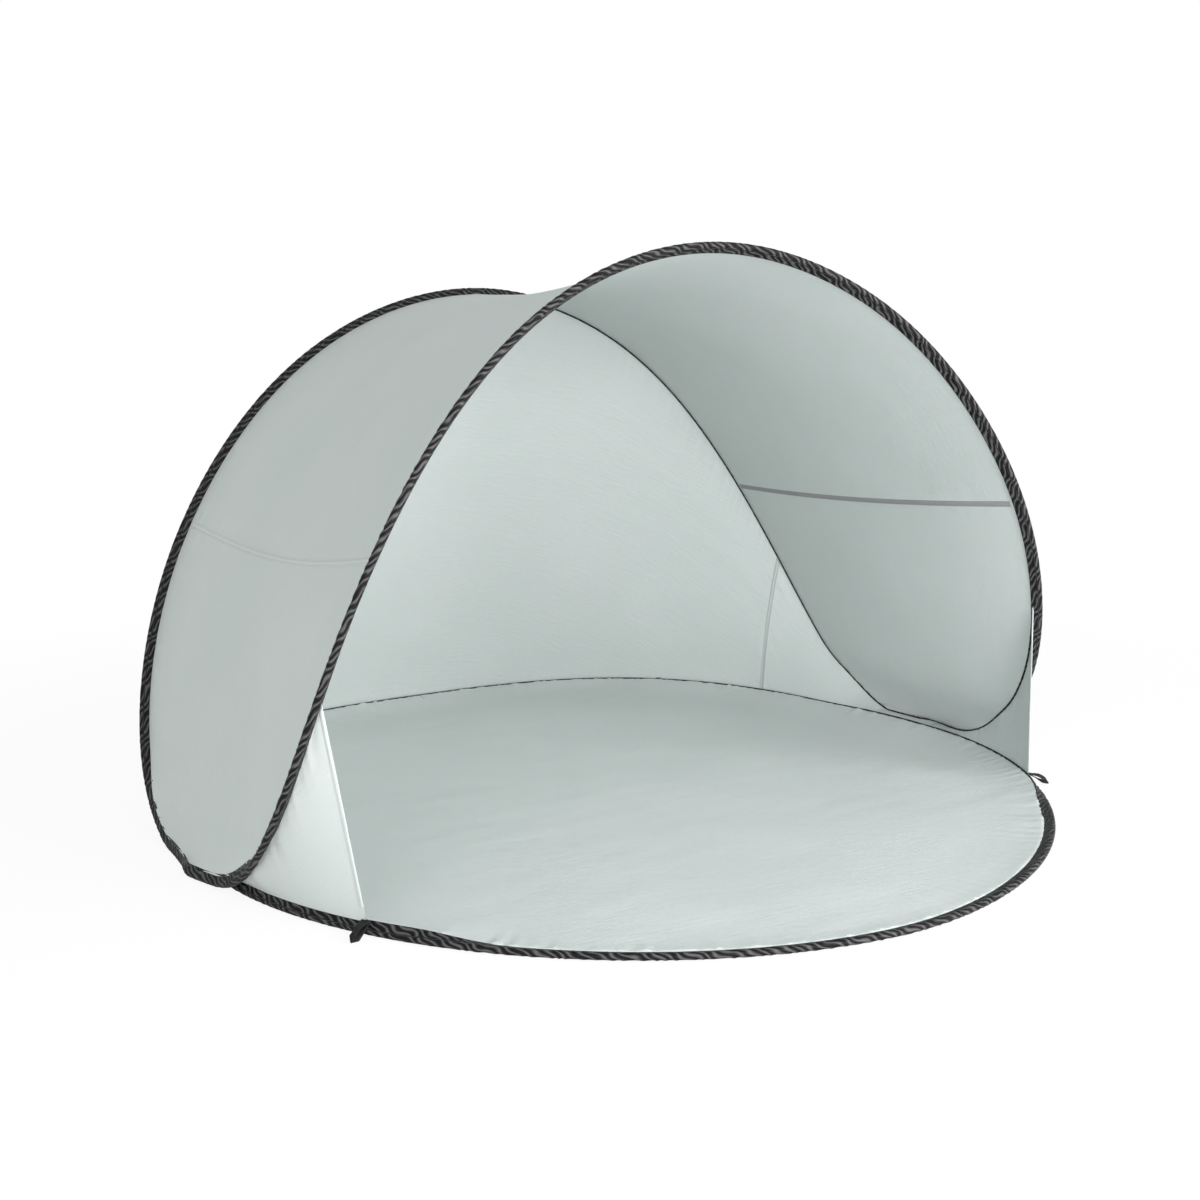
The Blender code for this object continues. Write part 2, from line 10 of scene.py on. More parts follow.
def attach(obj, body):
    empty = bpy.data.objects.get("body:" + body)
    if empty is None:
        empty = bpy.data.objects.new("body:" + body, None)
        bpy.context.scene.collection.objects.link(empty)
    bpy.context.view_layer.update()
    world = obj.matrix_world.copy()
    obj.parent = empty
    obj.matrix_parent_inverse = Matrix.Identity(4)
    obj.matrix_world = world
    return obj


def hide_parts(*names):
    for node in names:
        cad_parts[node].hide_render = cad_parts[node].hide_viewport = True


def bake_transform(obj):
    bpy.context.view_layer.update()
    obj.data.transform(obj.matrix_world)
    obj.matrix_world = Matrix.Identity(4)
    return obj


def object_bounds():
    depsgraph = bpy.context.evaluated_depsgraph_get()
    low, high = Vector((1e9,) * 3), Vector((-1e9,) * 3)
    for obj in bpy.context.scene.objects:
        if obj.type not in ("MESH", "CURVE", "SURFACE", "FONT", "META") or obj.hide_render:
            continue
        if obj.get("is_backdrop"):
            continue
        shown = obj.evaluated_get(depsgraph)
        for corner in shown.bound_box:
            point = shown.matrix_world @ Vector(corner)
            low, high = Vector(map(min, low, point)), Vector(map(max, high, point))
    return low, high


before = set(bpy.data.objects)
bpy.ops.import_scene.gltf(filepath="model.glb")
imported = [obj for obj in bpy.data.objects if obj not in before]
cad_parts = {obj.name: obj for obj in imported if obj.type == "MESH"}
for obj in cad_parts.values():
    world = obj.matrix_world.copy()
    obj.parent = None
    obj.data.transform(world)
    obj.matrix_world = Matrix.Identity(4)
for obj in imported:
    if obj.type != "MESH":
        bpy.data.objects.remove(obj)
cad_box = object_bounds()

# Floor outline, on the centre line of its wire
FLOOR_HALF_WIDTH = 0.706
FLOOR_HALF_DEPTH = 0.764
FLOOR_WIDEST_Y = -0.070
FLOOR_FRONT_ROUNDNESS = 1.85
FLOOR_REAR_ROUNDNESS = 2.73

# Canopy hoop, on the centre line of its wire
POLE_Y = -0.042
POLE_SPACING = 0.034
CANOPY_OVERHANG = 0.034
FRONT_APEX_Y = -0.321
FRONT_APEX_Z = 0.890
REAR_APEX_Y = 0.444
REAR_APEX_Z = 0.851

# Arches at 45, 60, 75 and 90 degrees: shares of the half width, of the way to the apex, and of the height
FRONT_ARCH_SHAPE = (
    (0.925, 1.000, 0.220),
    (0.784, 1.186, 0.545),
    (0.466, 1.093, 0.866),
    (0.000, 1.000, 1.000),
)
REAR_ARCH_SHAPE = (
    (0.962, 0.652, 0.155),
    (0.825, 0.901, 0.485),
    (0.495, 0.992, 0.844),
    (0.000, 1.000, 1.000),
)

# U-turns at 15 and 30 degrees: the way from the pole, the space outside the floor's wire, and the lift
FRONT_HEEL = ((0.049, 0.023, 0.001), (0.155, 0.023, 0.034))
REAR_HEEL = ((0.047, 0.028, 0.000), (0.159, 0.027, 0.006))

# Sleeves, as the solids have them
SLEEVE_THICKNESS = 0.0100
SLEEVE_DEPTH = 0.0195
SLEEVE_WALL = 0.0012
SLEEVE_SLIT = 0.0010

# Space between pieces, how far cloth is drawn in as a share of its span, and how it pulls the sleeves
GAP = 0.0004
CANOPY_SAG = 0.028
WALL_SAG = 0.020
HEM_LIFT_FADE = 0.160
WALL_LIFT_FADE = 0.300
WALL_LIFT = 0.5
WALL_PULL = 0.8
LIFTED_TURN = 0.8

# Heights of the wire between which the sleeve turns from pointing down to pointing away from the cloth
TURN_START = 0.020
TURN_END = 0.140

# Height of the line that cloth is drawn towards, and the distance from it over which the pull fades
PULL_HEIGHT = 0.300
PULL_SOFT = 0.080

# Seams and hems, as angles along the canopy hoop and places on the floor
CANOPY_SEAM_ANGLE = 60.0
STRIP_LEAN = 2.7
HEEL_ANGLE = 30.0
WALL_SEAM_ANGLE = 54.6
WALL_SEAM_FOOT_X = 0.650
HEM_TOP_ANGLE = 51.0
HEM_FADE = 16.0
HEM_FOOT_Y = -0.385

# Peg loops
WEBBING_WIDTH = 0.015
WEBBING_THICKNESS = 0.0012
LOOP_LENGTH = 0.036
LOOP_TIP_WIDTH = 0.003
LOOP_TAPER = 0.007
REAR_LOOP_X = 0.520

# Samples along the lines of the hoops, and the stations from which the canopy hoop is drawn, in degrees
FLOOR_STEPS = 800
ARCH_STEPS = 480
OUTLINE_SAMPLES = 721
STATION_ANGLE = 15

WIRE_Z = SLEEVE_THICKNESS / 2
SLEEVE_REACH = SLEEVE_DEPTH - SLEEVE_THICKNESS / 2
FLANGE = SLEEVE_SLIT / 2 + SLEEVE_WALL
CANOPY_HALF_WIDTH = FLOOR_HALF_WIDTH + CANOPY_OVERHANG
DOWN = np.array([0.0, 0.0, -1.0])
SMALL_TURN = 0.5
SMALL_SHARE = 0.0005


def unit(vectors):
    """Each vector scaled to length 1."""
    vectors = np.asarray(vectors, float)
    return vectors / np.maximum(np.linalg.norm(vectors, axis=-1, keepdims=True), 1e-9)


def square_to(vectors, ahead):
    """The part of each vector that is square to a unit direction."""
    return vectors - np.sum(vectors * ahead, axis=-1, keepdims=True) * ahead


def smooth(shares):
    """Shares from 0 to 1 eased at both ends."""
    shares = np.clip(shares, 0, 1)
    return shares * shares * (3 - 2 * shares)


def at_shares(path, shares):
    """Points at the given shares of a path's length."""
    steps = np.linalg.norm(np.diff(path, axis=0), axis=1)
    length = np.concatenate([[0.0], np.cumsum(steps)])
    places = np.asarray(shares, float) * length[-1]
    return np.stack([np.interp(places, length, path[:, k]) for k in range(3)], axis=1)


def floor_outline(samples=OUTLINE_SAMPLES):
    """Right half of the floor hoop, from its front middle to its rear middle."""
    angles = np.linspace(-math.pi / 2, math.pi / 2, samples)
    front = angles < 0
    power = 2 / np.where(front, FLOOR_FRONT_ROUNDNESS, FLOOR_REAR_ROUNDNESS)
    reach = np.where(front, FLOOR_HALF_DEPTH + FLOOR_WIDEST_Y, FLOOR_HALF_DEPTH - FLOOR_WIDEST_Y)
    x = FLOOR_HALF_WIDTH * np.abs(np.cos(angles)) ** power
    y = FLOOR_WIDEST_Y + reach * np.sign(angles) * np.abs(np.sin(angles)) ** power
    x[0] = x[-1] = 0.0
    return np.stack([x, y, np.full(samples, WIRE_Z)], axis=1)


HALF_SHARES = np.linspace(0, 1, FLOOR_STEPS // 2 + 1)
FLOOR_HALF = at_shares(floor_outline(), HALF_SHARES)


def floor_share_at_y(y):
    """Share of the half outline's length at which it reaches this Y."""
    return float(np.interp(y, FLOOR_HALF[:, 1], HALF_SHARES))


def floor_x_at_y(y):
    """Half width of the floor hoop at this Y."""
    return float(np.interp(y, FLOOR_HALF[:, 1], FLOOR_HALF[:, 0]))


def rear_y_at_x(x):
    """Y at which the rear of the floor hoop has this half width."""
    rear = FLOOR_HALF[FLOOR_HALF[:, 1] > FLOOR_WIDEST_Y][::-1]
    return float(np.interp(x, rear[:, 0], rear[:, 1]))


def floor_points(shares):
    """Points of the floor hoop at signed shares: 0 is the front middle, 1 the rear middle, - is left."""
    shares = np.asarray(shares, float)
    places = np.abs(shares)
    points = np.stack([np.interp(places, HALF_SHARES, FLOOR_HALF[:, k]) for k in range(3)], axis=1)
    points[:, 0] *= np.where(shares < 0, -1.0, 1.0)
    return points


def floor_ahead(shares):
    """Unit tangents of the floor hoop at signed shares."""
    shares = np.asarray(shares, float)
    return unit(floor_points(shares + SMALL_SHARE) - floor_points(shares - SMALL_SHARE))


def floor_outward(shares):
    """Level unit directions that point out of the floor hoop."""
    ahead = floor_ahead(shares)
    outward = np.stack([ahead[:, 1], -ahead[:, 0], 0 * ahead[:, 2]], axis=1)
    away = floor_points(shares) - [0.0, FLOOR_WIDEST_Y, WIRE_Z]
    return outward * np.sign(np.sum(outward * away, axis=1, keepdims=True))


def canopy_stations():
    """Points of the right half of the canopy hoop at its stations, from rear apex to front apex."""
    def foot(way, space, lift):
        y = POLE_Y + way
        return (floor_x_at_y(y) + space, y, WIRE_Z + lift)

    def arch(shape, apex_y, apex_z):
        return [
            (CANOPY_HALF_WIDTH * kx, POLE_Y + (apex_y - POLE_Y) * ky, WIRE_Z + (apex_z - WIRE_Z) * kz)
            for kx, ky, kz in shape
        ]

    front = [foot(-way, space, lift) for way, space, lift in FRONT_HEEL]
    rear = [foot(way, space, lift) for way, space, lift in REAR_HEEL]
    front += arch(FRONT_ARCH_SHAPE, FRONT_APEX_Y, FRONT_APEX_Z)
    rear += arch(REAR_ARCH_SHAPE, REAR_APEX_Y, REAR_APEX_Z)
    return np.array(rear[::-1] + [foot(0.0, POLE_SPACING, 0.0)] + front)


def closed_spline(stations):
    """Periodic cubic spline through evenly spaced stations, as a function of the place in stations."""
    count = len(stations)
    system = 4 * np.eye(count) + np.roll(np.eye(count), 1, axis=1) + np.roll(np.eye(count), -1, axis=1)
    bends = 6 * (np.roll(stations, -1, axis=0) - 2 * stations + np.roll(stations, 1, axis=0))
    curvature = np.linalg.solve(system, bends)

    def point(place):
        first = np.floor(place).astype(int)
        b = (place - first)[:, None]
        a = 1 - b
        first = first % count
        second = (first + 1) % count
        straight = a * stations[first] + b * stations[second]
        return straight + ((a**3 - a) * curvature[first] + (b**3 - b) * curvature[second]) / 6

    return point


def canopy_rings():
    """Angles from -180 to 180, and the hoop's points there, none of them below the ground."""
    right = canopy_stations()
    left = right[-2:0:-1] * [-1.0, 1.0, 1.0]
    spline = closed_spline(np.concatenate([right, left]))
    angles = np.linspace(-180, 180, 2 * ARCH_STEPS + 1)
    points = spline((angles + 90) / STATION_ANGLE)
    points[:, 2] = np.maximum(points[:, 2], WIRE_Z)
    return angles, points


RING_ANGLES, CANOPY_RINGS = canopy_rings()


def canopy(angles):
    """Points of the canopy hoop's wire at angles along it."""
    angles = (np.asarray(angles, float) + 180) % 360 - 180
    return np.stack([np.interp(angles, RING_ANGLES, CANOPY_RINGS[:, k]) for k in range(3)], axis=1)


def canopy_ahead(angles):
    """Unit tangents of the canopy hoop at angles along it."""
    angles = np.asarray(angles, float)
    return unit(canopy(angles + SMALL_TURN) - canopy(angles - SMALL_TURN))


def turn(angle, length):
    """Degrees along the canopy hoop that cover a short length near an angle."""
    ends = canopy([angle - SMALL_TURN, angle + SMALL_TURN])
    return length * 2 * SMALL_TURN / float(np.linalg.norm(ends[1] - ends[0]))


def fold(angles):
    """Angles of the right half, 0 to 90, that mirror or match angles along either arch."""
    angles = np.abs(np.asarray(angles, float))
    return np.minimum(angles, 180 - angles)


def side(angles):
    """1 on the right half and -1 on the left half."""
    return np.where(np.abs(np.asarray(angles, float)) <= 90, 1.0, -1.0)


POLE_SHARE = floor_share_at_y(POLE_Y)
HEM_SHARE = floor_share_at_y(HEM_FOOT_Y)
WALL_SEAM_SHARE = floor_share_at_y(rear_y_at_x(WALL_SEAM_FOOT_X))


def wall_feet(angles):
    """Signed shares of the floor hoop below the rear arch."""
    corners = [0.0, HEEL_ANGLE, WALL_SEAM_ANGLE, 90.0]
    shares = [POLE_SHARE, floor_share_at_y(POLE_Y + REAR_HEEL[1][0]), WALL_SEAM_SHARE, 1.0]
    return np.interp(fold(angles), corners, shares) * side(angles)


def gusset_feet(angles):
    """Signed shares of the floor hoop below the foot of the front arch."""
    corners = [0.0, HEEL_ANGLE, HEM_TOP_ANGLE]
    shares = [POLE_SHARE, floor_share_at_y(POLE_Y - FRONT_HEEL[1][0]), HEM_SHARE]
    return np.interp(fold(angles), corners, shares) * side(angles)


def canopy_pocket(angles):
    """Unit directions in which the canopy's sleeve points: down on the ground, then away from cloth."""
    angles = np.asarray(angles, float)
    points = canopy(angles)
    ahead = canopy_ahead(angles)
    strip = unit(square_to(canopy(-angles) - points, ahead))
    wall = unit(square_to(floor_points(wall_feet(angles)) - points, ahead))
    inside = unit(square_to(points * [0.0, 1.0, 0.0] + [0.0, 0.0, PULL_HEIGHT] - points, ahead))
    gusset = unit(square_to(floor_points(gusset_feet(angles)) - points, ahead))
    free = smooth((fold(angles)[:, None] - HEM_TOP_ANGLE) / HEM_FADE + 0.5)
    front = unit(gusset * (1 - free) + inside * free)
    pull = np.where(angles[:, None] < 0, WALL_PULL * wall, front)
    lift = smooth((points[:, 2:] - TURN_START) / (TURN_END - TURN_START))
    return unit(square_to(DOWN, ahead) * (1 - lift) - unit(strip + pull) * lift)


def floor_pocket(shares):
    """Unit directions in which the floor's sleeve points: outward, and down where cloth lifts it."""
    y = floor_points(shares)[:, 1:2]
    lifted = smooth((y - HEM_FOOT_Y) / HEM_LIFT_FADE + 1)
    lifted = lifted - (1 - WALL_LIFT) * smooth((y - POLE_Y) / WALL_LIFT_FADE)
    return unit(floor_outward(shares) * (1 - LIFTED_TURN * lifted) + DOWN * lifted)


def between(first, second, shares, sag):
    """Rows of points from one edge to another, drawn inwards in the middle by a share of their span."""
    shares = np.asarray(shares, float)[None, :, None]
    flat = first[:, None] * (1 - shares) + second[:, None] * shares
    inwards = flat * [0.0, 1.0, 0.0] + [0.0, 0.0, PULL_HEIGHT] - flat
    inwards = inwards / np.sqrt(np.sum(inwards**2, axis=-1, keepdims=True) + PULL_SOFT**2)
    span = np.linalg.norm(second - first, axis=1)[:, None, None]
    return flat + inwards * 4 * shares * (1 - shares) * span * sag


# Gathered sleeves: lengths of their lines, and the steps along them, round the nose and down each flank
FLOOR_HOOP_LENGTH = 4.62
ARCH_LENGTH = 2.7
SLEEVE_STEP = 0.0020
NOSE_STEPS = 9
NOSE_ANGLE = 112
FLANK_STEPS = 8
FLANK_CURVE = 1.4
FLANGE_HALF = 0.0006
SLEEVE_OFF_GROUND = 0.0002

# Folds of the sleeves, with sways as waves a metre along and round the sleeve, size and start
FOLD_LENGTH = 0.0165
FOLD_SLANT = -1.8
FOLD_DEPTH = 0.0016
FOLD_WANDER = (
    (16.4, 0.0, 1.1, 1.0),
    (27.0, 0.0, 0.7, 2.1),
    (6.9, 0.0, 1.6, 0.3),
    (23.0, 48.0, 0.9, 0.7),
    (41.0, -95.0, 0.5, 1.9),
)
FOLD_SHARPNESS = 1.5
FOLD_MIDDLE = 0.55

# Where the folds start past the flange's edge and end at the nose, and how they vary along a sleeve
FOLD_START = 0.0022
FOLD_START_FADE = 0.004
FOLD_END = 0.0062
FOLD_END_FADE = 0.006
FOLD_STRENGTH = 0.8
FOLD_STRENGTH_WAVE = 0.35
FOLD_STRENGTH_LENGTH = 0.035
FOLD_STRENGTH_RANGE = (0.3, 1.3)

# Cloth where it is sewn to a sleeve: its overlap with the flange, and its distance from the flange's middle
LAP = 0.0030
SEWN_SPACE = 0.0011

# Foot of the canopy strip: the angle at which it starts, that over which it rises, and its shape
FOOT_ANGLE = 18.0
FOOT_RISE = 26.0
FOOT_OUTWARD = 3
FOOT_CURVE = 1.5
FOOT_MIDDLE = 0.02

# How far the cross seams bow down at the right and at the left, in degrees along the hoop
SEAM_BOW = (0.15, 1.2)
SEAM_BOW_REACH = 18.0
SEAM_BOW_SPARE = 1.05
SEAM_BOW_STEPS = 60

# Summed waves, with the shortest and longest as shares of the length asked for
RIPPLE_WAVES = 16
RIPPLE_SPREAD = (0.7, 1.7)

# Puckers beside seams: lengths of their waves and the share of each, and depth and reach
PUCKER_WAVES = ((0.030, 0.6), (0.014, 0.4))
PUCKER_START = 0.003
PUCKER_DEPTH = 0.0014
PUCKER_REACH = 0.022
FLOOR_PUCKER_DEPTH = 0.0003
SEAM_PUCKER_DEPTH = 0.0013
SEAM_PUCKER_REACH = 0.018
SEAM_FLAT = 0.004
SEAM_FADE = 0.012

# Panels: steps across, how much closer they lie at the edges, and broad and fine waves inside
PANEL_STEPS = 90
GUSSET_STEPS = 70
STEP_CROWDING = 0.45
INNER_REACH = 0.12
CANOPY_WAVE = 0.0012
WALL_WAVE = 0.0015
GUSSET_WAVE = 0.0006
BROAD_LENGTH = 0.42
FINE_WAVE = 0.00022
FINE_LENGTH = 0.075
FINE_STRETCH = 2.6

# Shares of its width times its length below which a panel is a triangle, and that a rectangle fills
TRIANGLE_FILL = 0.32
SHEET_FILL = 0.99

# Bands over seams and hems
TAPE_WIDTH = 0.011
TAPE_LENGTH = 0.70
STITCHING_WIDTH = 0.015
STITCHING_LENGTH = 0.30
STITCHING_WAVE = 0.0005
STITCHING_PITCH = 0.0046
STITCHING_SWAY = 5
STITCHING_SWAY_LENGTH = 0.05
HEM_WIDTH = 0.012
HEM_LENGTH = 0.32
HEM_THREAD_WIDTH = 0.0115
HEM_FACES = (("stitched", 1.0, 0.988), ("outer", -1.0, 0.93))
BAND_ENDS = (0.012, 0.988)
BAND_STEP = 0.002
BAND_COLUMNS = 13
BAND_LIFT = 0.0007
BAND_CROWN = 0.0006
BAND_EDGE = 0.01
BAND_EDGE_LIFT = 0.0001
STITCH_ROWS = (0.2, 0.8)
STITCH_ROW_WIDTH = 0.07
STITCH_DEPTH = 0.0005
STITCH_PITCH = 0.0032
STITCH_PULL = (0.6, 0.4)

# Floor cloth: its middle, shares of the way to the rim, rise at the rim, waves and puckers
FLOOR_MIDDLE = np.array([0.0, 0.03, 0.0])
FLOOR_COLUMNS = 721
FLOOR_INNER = (0.0002, 0.93, 90)
FLOOR_OUTER = (0.935, 1.0, 26)
FLOOR_LIFT = 0.0012
FLOOR_RISE_REACH = 0.120
FLOOR_RISE_CURVE = 2.4
FLOOR_WAVE = 0.0008
FLOOR_WAVE_LENGTH = 0.30
FLOOR_FINE_WAVE = 0.00025
FLOOR_FINE_STRETCH = 2.5
FLOOR_WAVE_FADE = 0.05
FLOOR_GATHER = 3
FLOOR_GATHER_LENGTH = 4.6

# Webbing loops: height of the eye, twist at the front, and the webbing's selvedges and ribs
EYE_HEIGHT = 0.0040
EYE_CURVE = 1.5
LOOP_TWIST = 34.0
LOOP_STEPS = 40
LOOP_END_STEPS = 9
WEBBING_STEPS = 15
SELVEDGE_POWER = 6
RIB_COUNT = 6
RIB_DEPTH = 0.10
LOOP_OFF_GROUND = 0.0004

# Cloth colours
SILVER = ((0.527, 0.565, 0.556), (0.567, 0.600, 0.592))
GREY = ((0.240, 0.235, 0.245), (0.300, 0.295, 0.305))
BLACK = ((0.0035, 0.0033, 0.0035), (0.0060, 0.0057, 0.0060))
WEBBING_BLACK = ((0.006, 0.006, 0.006), (0.012, 0.012, 0.012))
STITCH_TONE = (0.290, 0.310, 0.308)
# Painted highlight: a lighter colour painted on the ridges of the sleeves' folds, and the power that keeps
# it to their tops
FOLD_HIGHLIGHT_TONE = (0.085, 0.082, 0.085)
FOLD_HIGHLIGHT_POWER = 2.5
TONE_ENDS = (0.35, 0.65)
TONE_SCALE = 2.6
STREAK_SCALE = (60.0, 900.0, 1.0)
STREAK_SHARE = 0.3

# Cloth surfaces: roughness, depth of a thread as a share of the weave's pitch, creases and folds
ROUGHNESS_SCALE = 35.0
ROUGHNESS_SPREAD = 0.12
THREAD_DEPTH = 0.12
THREAD_STRENGTH = 0.35
CREASE_DEPTH = 0.0012
FOLD_BUMP = 0.5
SILVER_WEAVE = 0.0006
BAND_CREASES = (300.0, 60.0, 1.0)

# Stitch lines: place; half a line's width as a share of the band's, pitch, share of thread, and strength
STITCH_LINE = 0.27
PLAIN_STITCHES = (0.045, 0.0030, 0.8, 0.5)
LADDER_STITCHES = (0.180, 0.0060, 0.6, 1.0)

# Steel: scale of its spots, and how far they darken it and roughen it
STEEL_SCALE = 220.0
STEEL_DARK = 0.75
STEEL_ROUGHENING = 0.15

# Studio: ground and its glow at distances from the middle, world, and lamps
GROUND_HALF = 9
GROUND_Z = -0.0004
GROUND_TONE = (0.86, 0.86, 0.86, 1.0)
GLOW = {"From Min": 1.0, "From Max": 2.2, "To Min": 0.90, "To Max": 1.0}
WHITE_LIGHT = {"Color": (1.0, 1.0, 1.0, 1.0), "Strength": 1.0}
WORLD_LIGHT = 0.70
WORLD_TINT = (0.955, 1.0, 0.992)
LAMPS = (
    ("key", (-3.4, -3.4, 1.4), (0.0, 0.2, 0.3), 2.4, 62.0),
    ("fill", (2.6, -3.6, 1.2), (0.0, 0.2, 0.3), 2.4, 108.0),
    ("front", (0.0, -2.4, 0.9), (0.0, 0.5, 0.5), 1.4, 50.0),
)

# Camera: place, directions to its right and back, and focal length in pixels of an image of this width
CAMERA_PLACE = (-1.328, -2.112, 0.751)
CAMERA_RIGHT = (0.849, -0.529, -0.007)
CAMERA_BACK = (-0.521, -0.837, 0.168)
CAMERA_FOCUS = 1503.0
IMAGE_WIDTH = 1200
SENSOR_WIDTH = 36.0


def ripple(u, v, size, seed, stretch=1.0):
    """A smooth random relief of about -1 to 1, with features of one size in metres."""
    rng = np.random.default_rng(seed)
    total = 0.0
    for _ in range(RIPPLE_WAVES):
        heading = rng.uniform(0, math.tau)
        wave = size * rng.uniform(*RIPPLE_SPREAD)
        phase = rng.uniform(0, math.tau)
        place = u * math.cos(heading) / stretch + v * math.sin(heading)
        total = total + np.sin(math.tau * place / wave + phase)
    return total / math.sqrt(RIPPLE_WAVES)


def along_steps(points):
    """Length along a line of points, from 0 at its first."""
    steps = np.linalg.norm(np.diff(points, axis=0), axis=-1)
    return np.concatenate([np.zeros((1, *steps.shape[1:])), np.cumsum(steps, axis=0)])


def grid_normals(grid):
    """Unit normals of a grid of points."""
    return unit(np.cross(np.gradient(grid, axis=0), np.gradient(grid, axis=1)))


def pucker(distance, along, seed, depth=PUCKER_DEPTH, reach=PUCKER_REACH):
    """Small waves that a gathered seam draws into cloth beside it."""
    waves = enumerate(PUCKER_WAVES)
    wave = sum(ripple(along, 0 * along, size, seed + number) * share for number, (size, share) in waves)
    return depth * wave * np.exp(-distance / reach) * (1 - np.exp(-distance / PUCKER_START))


def linked(name, data):
    """A new object in the scene."""
    holder = bpy.data.objects.new(name, data)
    bpy.context.scene.collection.objects.link(holder)
    return holder


def grid_piece(name, grid, finish, u, v, closed=False, ends=False):
    """A mesh over a grid of points, with U and V in metres. closed joins the last column to the first."""
    rows, columns = grid.shape[:2]
    mesh = bpy.data.meshes.new(name)
    last = columns if closed else columns - 1
    row, column = np.meshgrid(np.arange(rows - 1) * columns, np.arange(last), indexing="ij")
    beside = (column + 1) % columns
    ahead = row + columns
    quads = np.stack([row + column, ahead + column, ahead + beside, row + beside], axis=-1)
    quads = quads.reshape(-1, 4).tolist()
    if ends:
        quads += [tuple(range(columns)), tuple(range((rows - 1) * columns, rows * columns))[::-1]]
    mesh.from_pydata(grid.reshape(-1, 3).tolist(), [], quads)
    layer = mesh.uv_layers.new(name="UVMap")
    picks = np.empty(len(mesh.loops), int)
    mesh.loops.foreach_get("vertex_index", picks)
    flat = np.stack(np.broadcast_arrays(u, v), axis=-1).reshape(-1, 2)
    layer.data.foreach_set("uv", flat[picks].astype(np.float32).ravel())
    mesh.polygons.foreach_set("use_smooth", np.ones(len(mesh.polygons), bool))
    mesh.materials.append(finish)
    return linked(name, mesh)


def surface_area(piece):
    """Area of a piece's faces in square metres."""
    areas = np.empty(len(piece.data.polygons))
    piece.data.polygons.foreach_get("area", areas)
    return float(areas.sum())


def sewn_edge(points, pocket, ahead, towards):
    """Line on the side of a sleeve's flange where cloth that goes a given way is sewn on."""
    level = unit(square_to(square_to(towards, ahead), pocket))
    return points - pocket * (SLEEVE_REACH - LAP) + level * SEWN_SPACE


def strip_edges(angles):
    """Edges of the canopy strip, on the front and the rear arch. Near the ground they turn outward."""
    lean = STRIP_LEAN * np.sin(np.radians(2 * fold(angles))) ** 2 * side(angles)
    other = -(angles + lean)
    tops, ends = canopy(angles), canopy(other)
    flat = FOOT_OUTWARD * (1 - smooth((fold(angles) - FOOT_ANGLE) / FOOT_RISE))[:, None]
    outward = np.stack([side(angles), 0 * angles, 0 * angles], axis=-1) * flat
    first = sewn_edge(tops, canopy_pocket(angles), canopy_ahead(angles), unit(ends - tops) + outward)
    return first, sewn_edge(ends, canopy_pocket(other), canopy_ahead(other), unit(tops - ends) + outward)


def upright_edges(angles, feet):
    """Edges of a cloth from the canopy hoop at these angles to the floor hoop at these shares."""
    tops, ends = canopy(angles), floor_points(feet)
    first = sewn_edge(tops, canopy_pocket(angles), canopy_ahead(angles), ends - tops)
    return first, sewn_edge(ends, floor_pocket(feet), floor_ahead(feet), floor_outward(feet))


def foot_bow(shares, left):
    """How far the hoop's turn on the ground lies from the straight line between its two legs."""
    spread = np.clip(np.abs(1 - 2 * shares), FOOT_MIDDLE, 1) * FOOT_ANGLE
    first, second = strip_edges(180 - spread if left else spread)
    turned = np.where(shares[:, None] < 0.5, first, second)
    return turned - turned[0] - (turned[-1] - turned[0]) * shares[:, None]


def strip_sheet(angles, shares):
    """Points of the canopy strip. It rises from the turns on the ground, and its cross seams bow down."""
    spare = max(SEAM_BOW) * SEAM_BOW_SPARE
    start = max(angles.min() - spare, FOOT_ANGLE)
    end = min(angles.max() + spare, 180 - FOOT_ANGLE)
    even = np.linspace(start, end, len(angles) + SEAM_BOW_STEPS)
    ease = smooth((fold(even) - FOOT_ANGLE) / FOOT_RISE)[:, None, None]
    turned = np.where(even[:, None, None] < 90, foot_bow(shares, False), foot_bow(shares, True))
    sheet = between(*strip_edges(even), shares, CANOPY_SAG * ease) + (1 - ease) ** FOOT_CURVE * turned
    reach = np.exp(-((fold(angles) - CANOPY_SEAM_ANGLE) / SEAM_BOW_REACH) ** 2) * side(angles)
    bow = np.where(angles < 90, *SEAM_BOW) * reach
    moved = angles[:, None] - bow[:, None] * np.sin(math.pi * shares)[None]
    place = np.clip((moved - even[0]) / (even[1] - even[0]), 0, len(even) - 1.001)
    below = place.astype(int)
    part = (place - below)[..., None]
    column = np.arange(len(shares))[None]
    return sheet[below, column] * (1 - part) + sheet[below + 1, column] * part


def wall_sheet(angles, shares):
    """Points of the rear wall, with a row from the rear arch to the floor at each angle."""
    return between(*upright_edges(-angles, wall_feet(angles)), shares, WALL_SAG)


def gusset_sheet(angles, shares):
    """Points of a gusset, with a row from the front arch to the floor at each angle."""
    return between(*upright_edges(angles, gusset_feet(angles)), shares, 0.0)


def crowded(steps):
    """Shares across a panel, closer together at its edges."""
    shares = np.linspace(0, 1, steps)
    return shares - np.sin(shares * math.tau) / math.tau * STEP_CROWDING


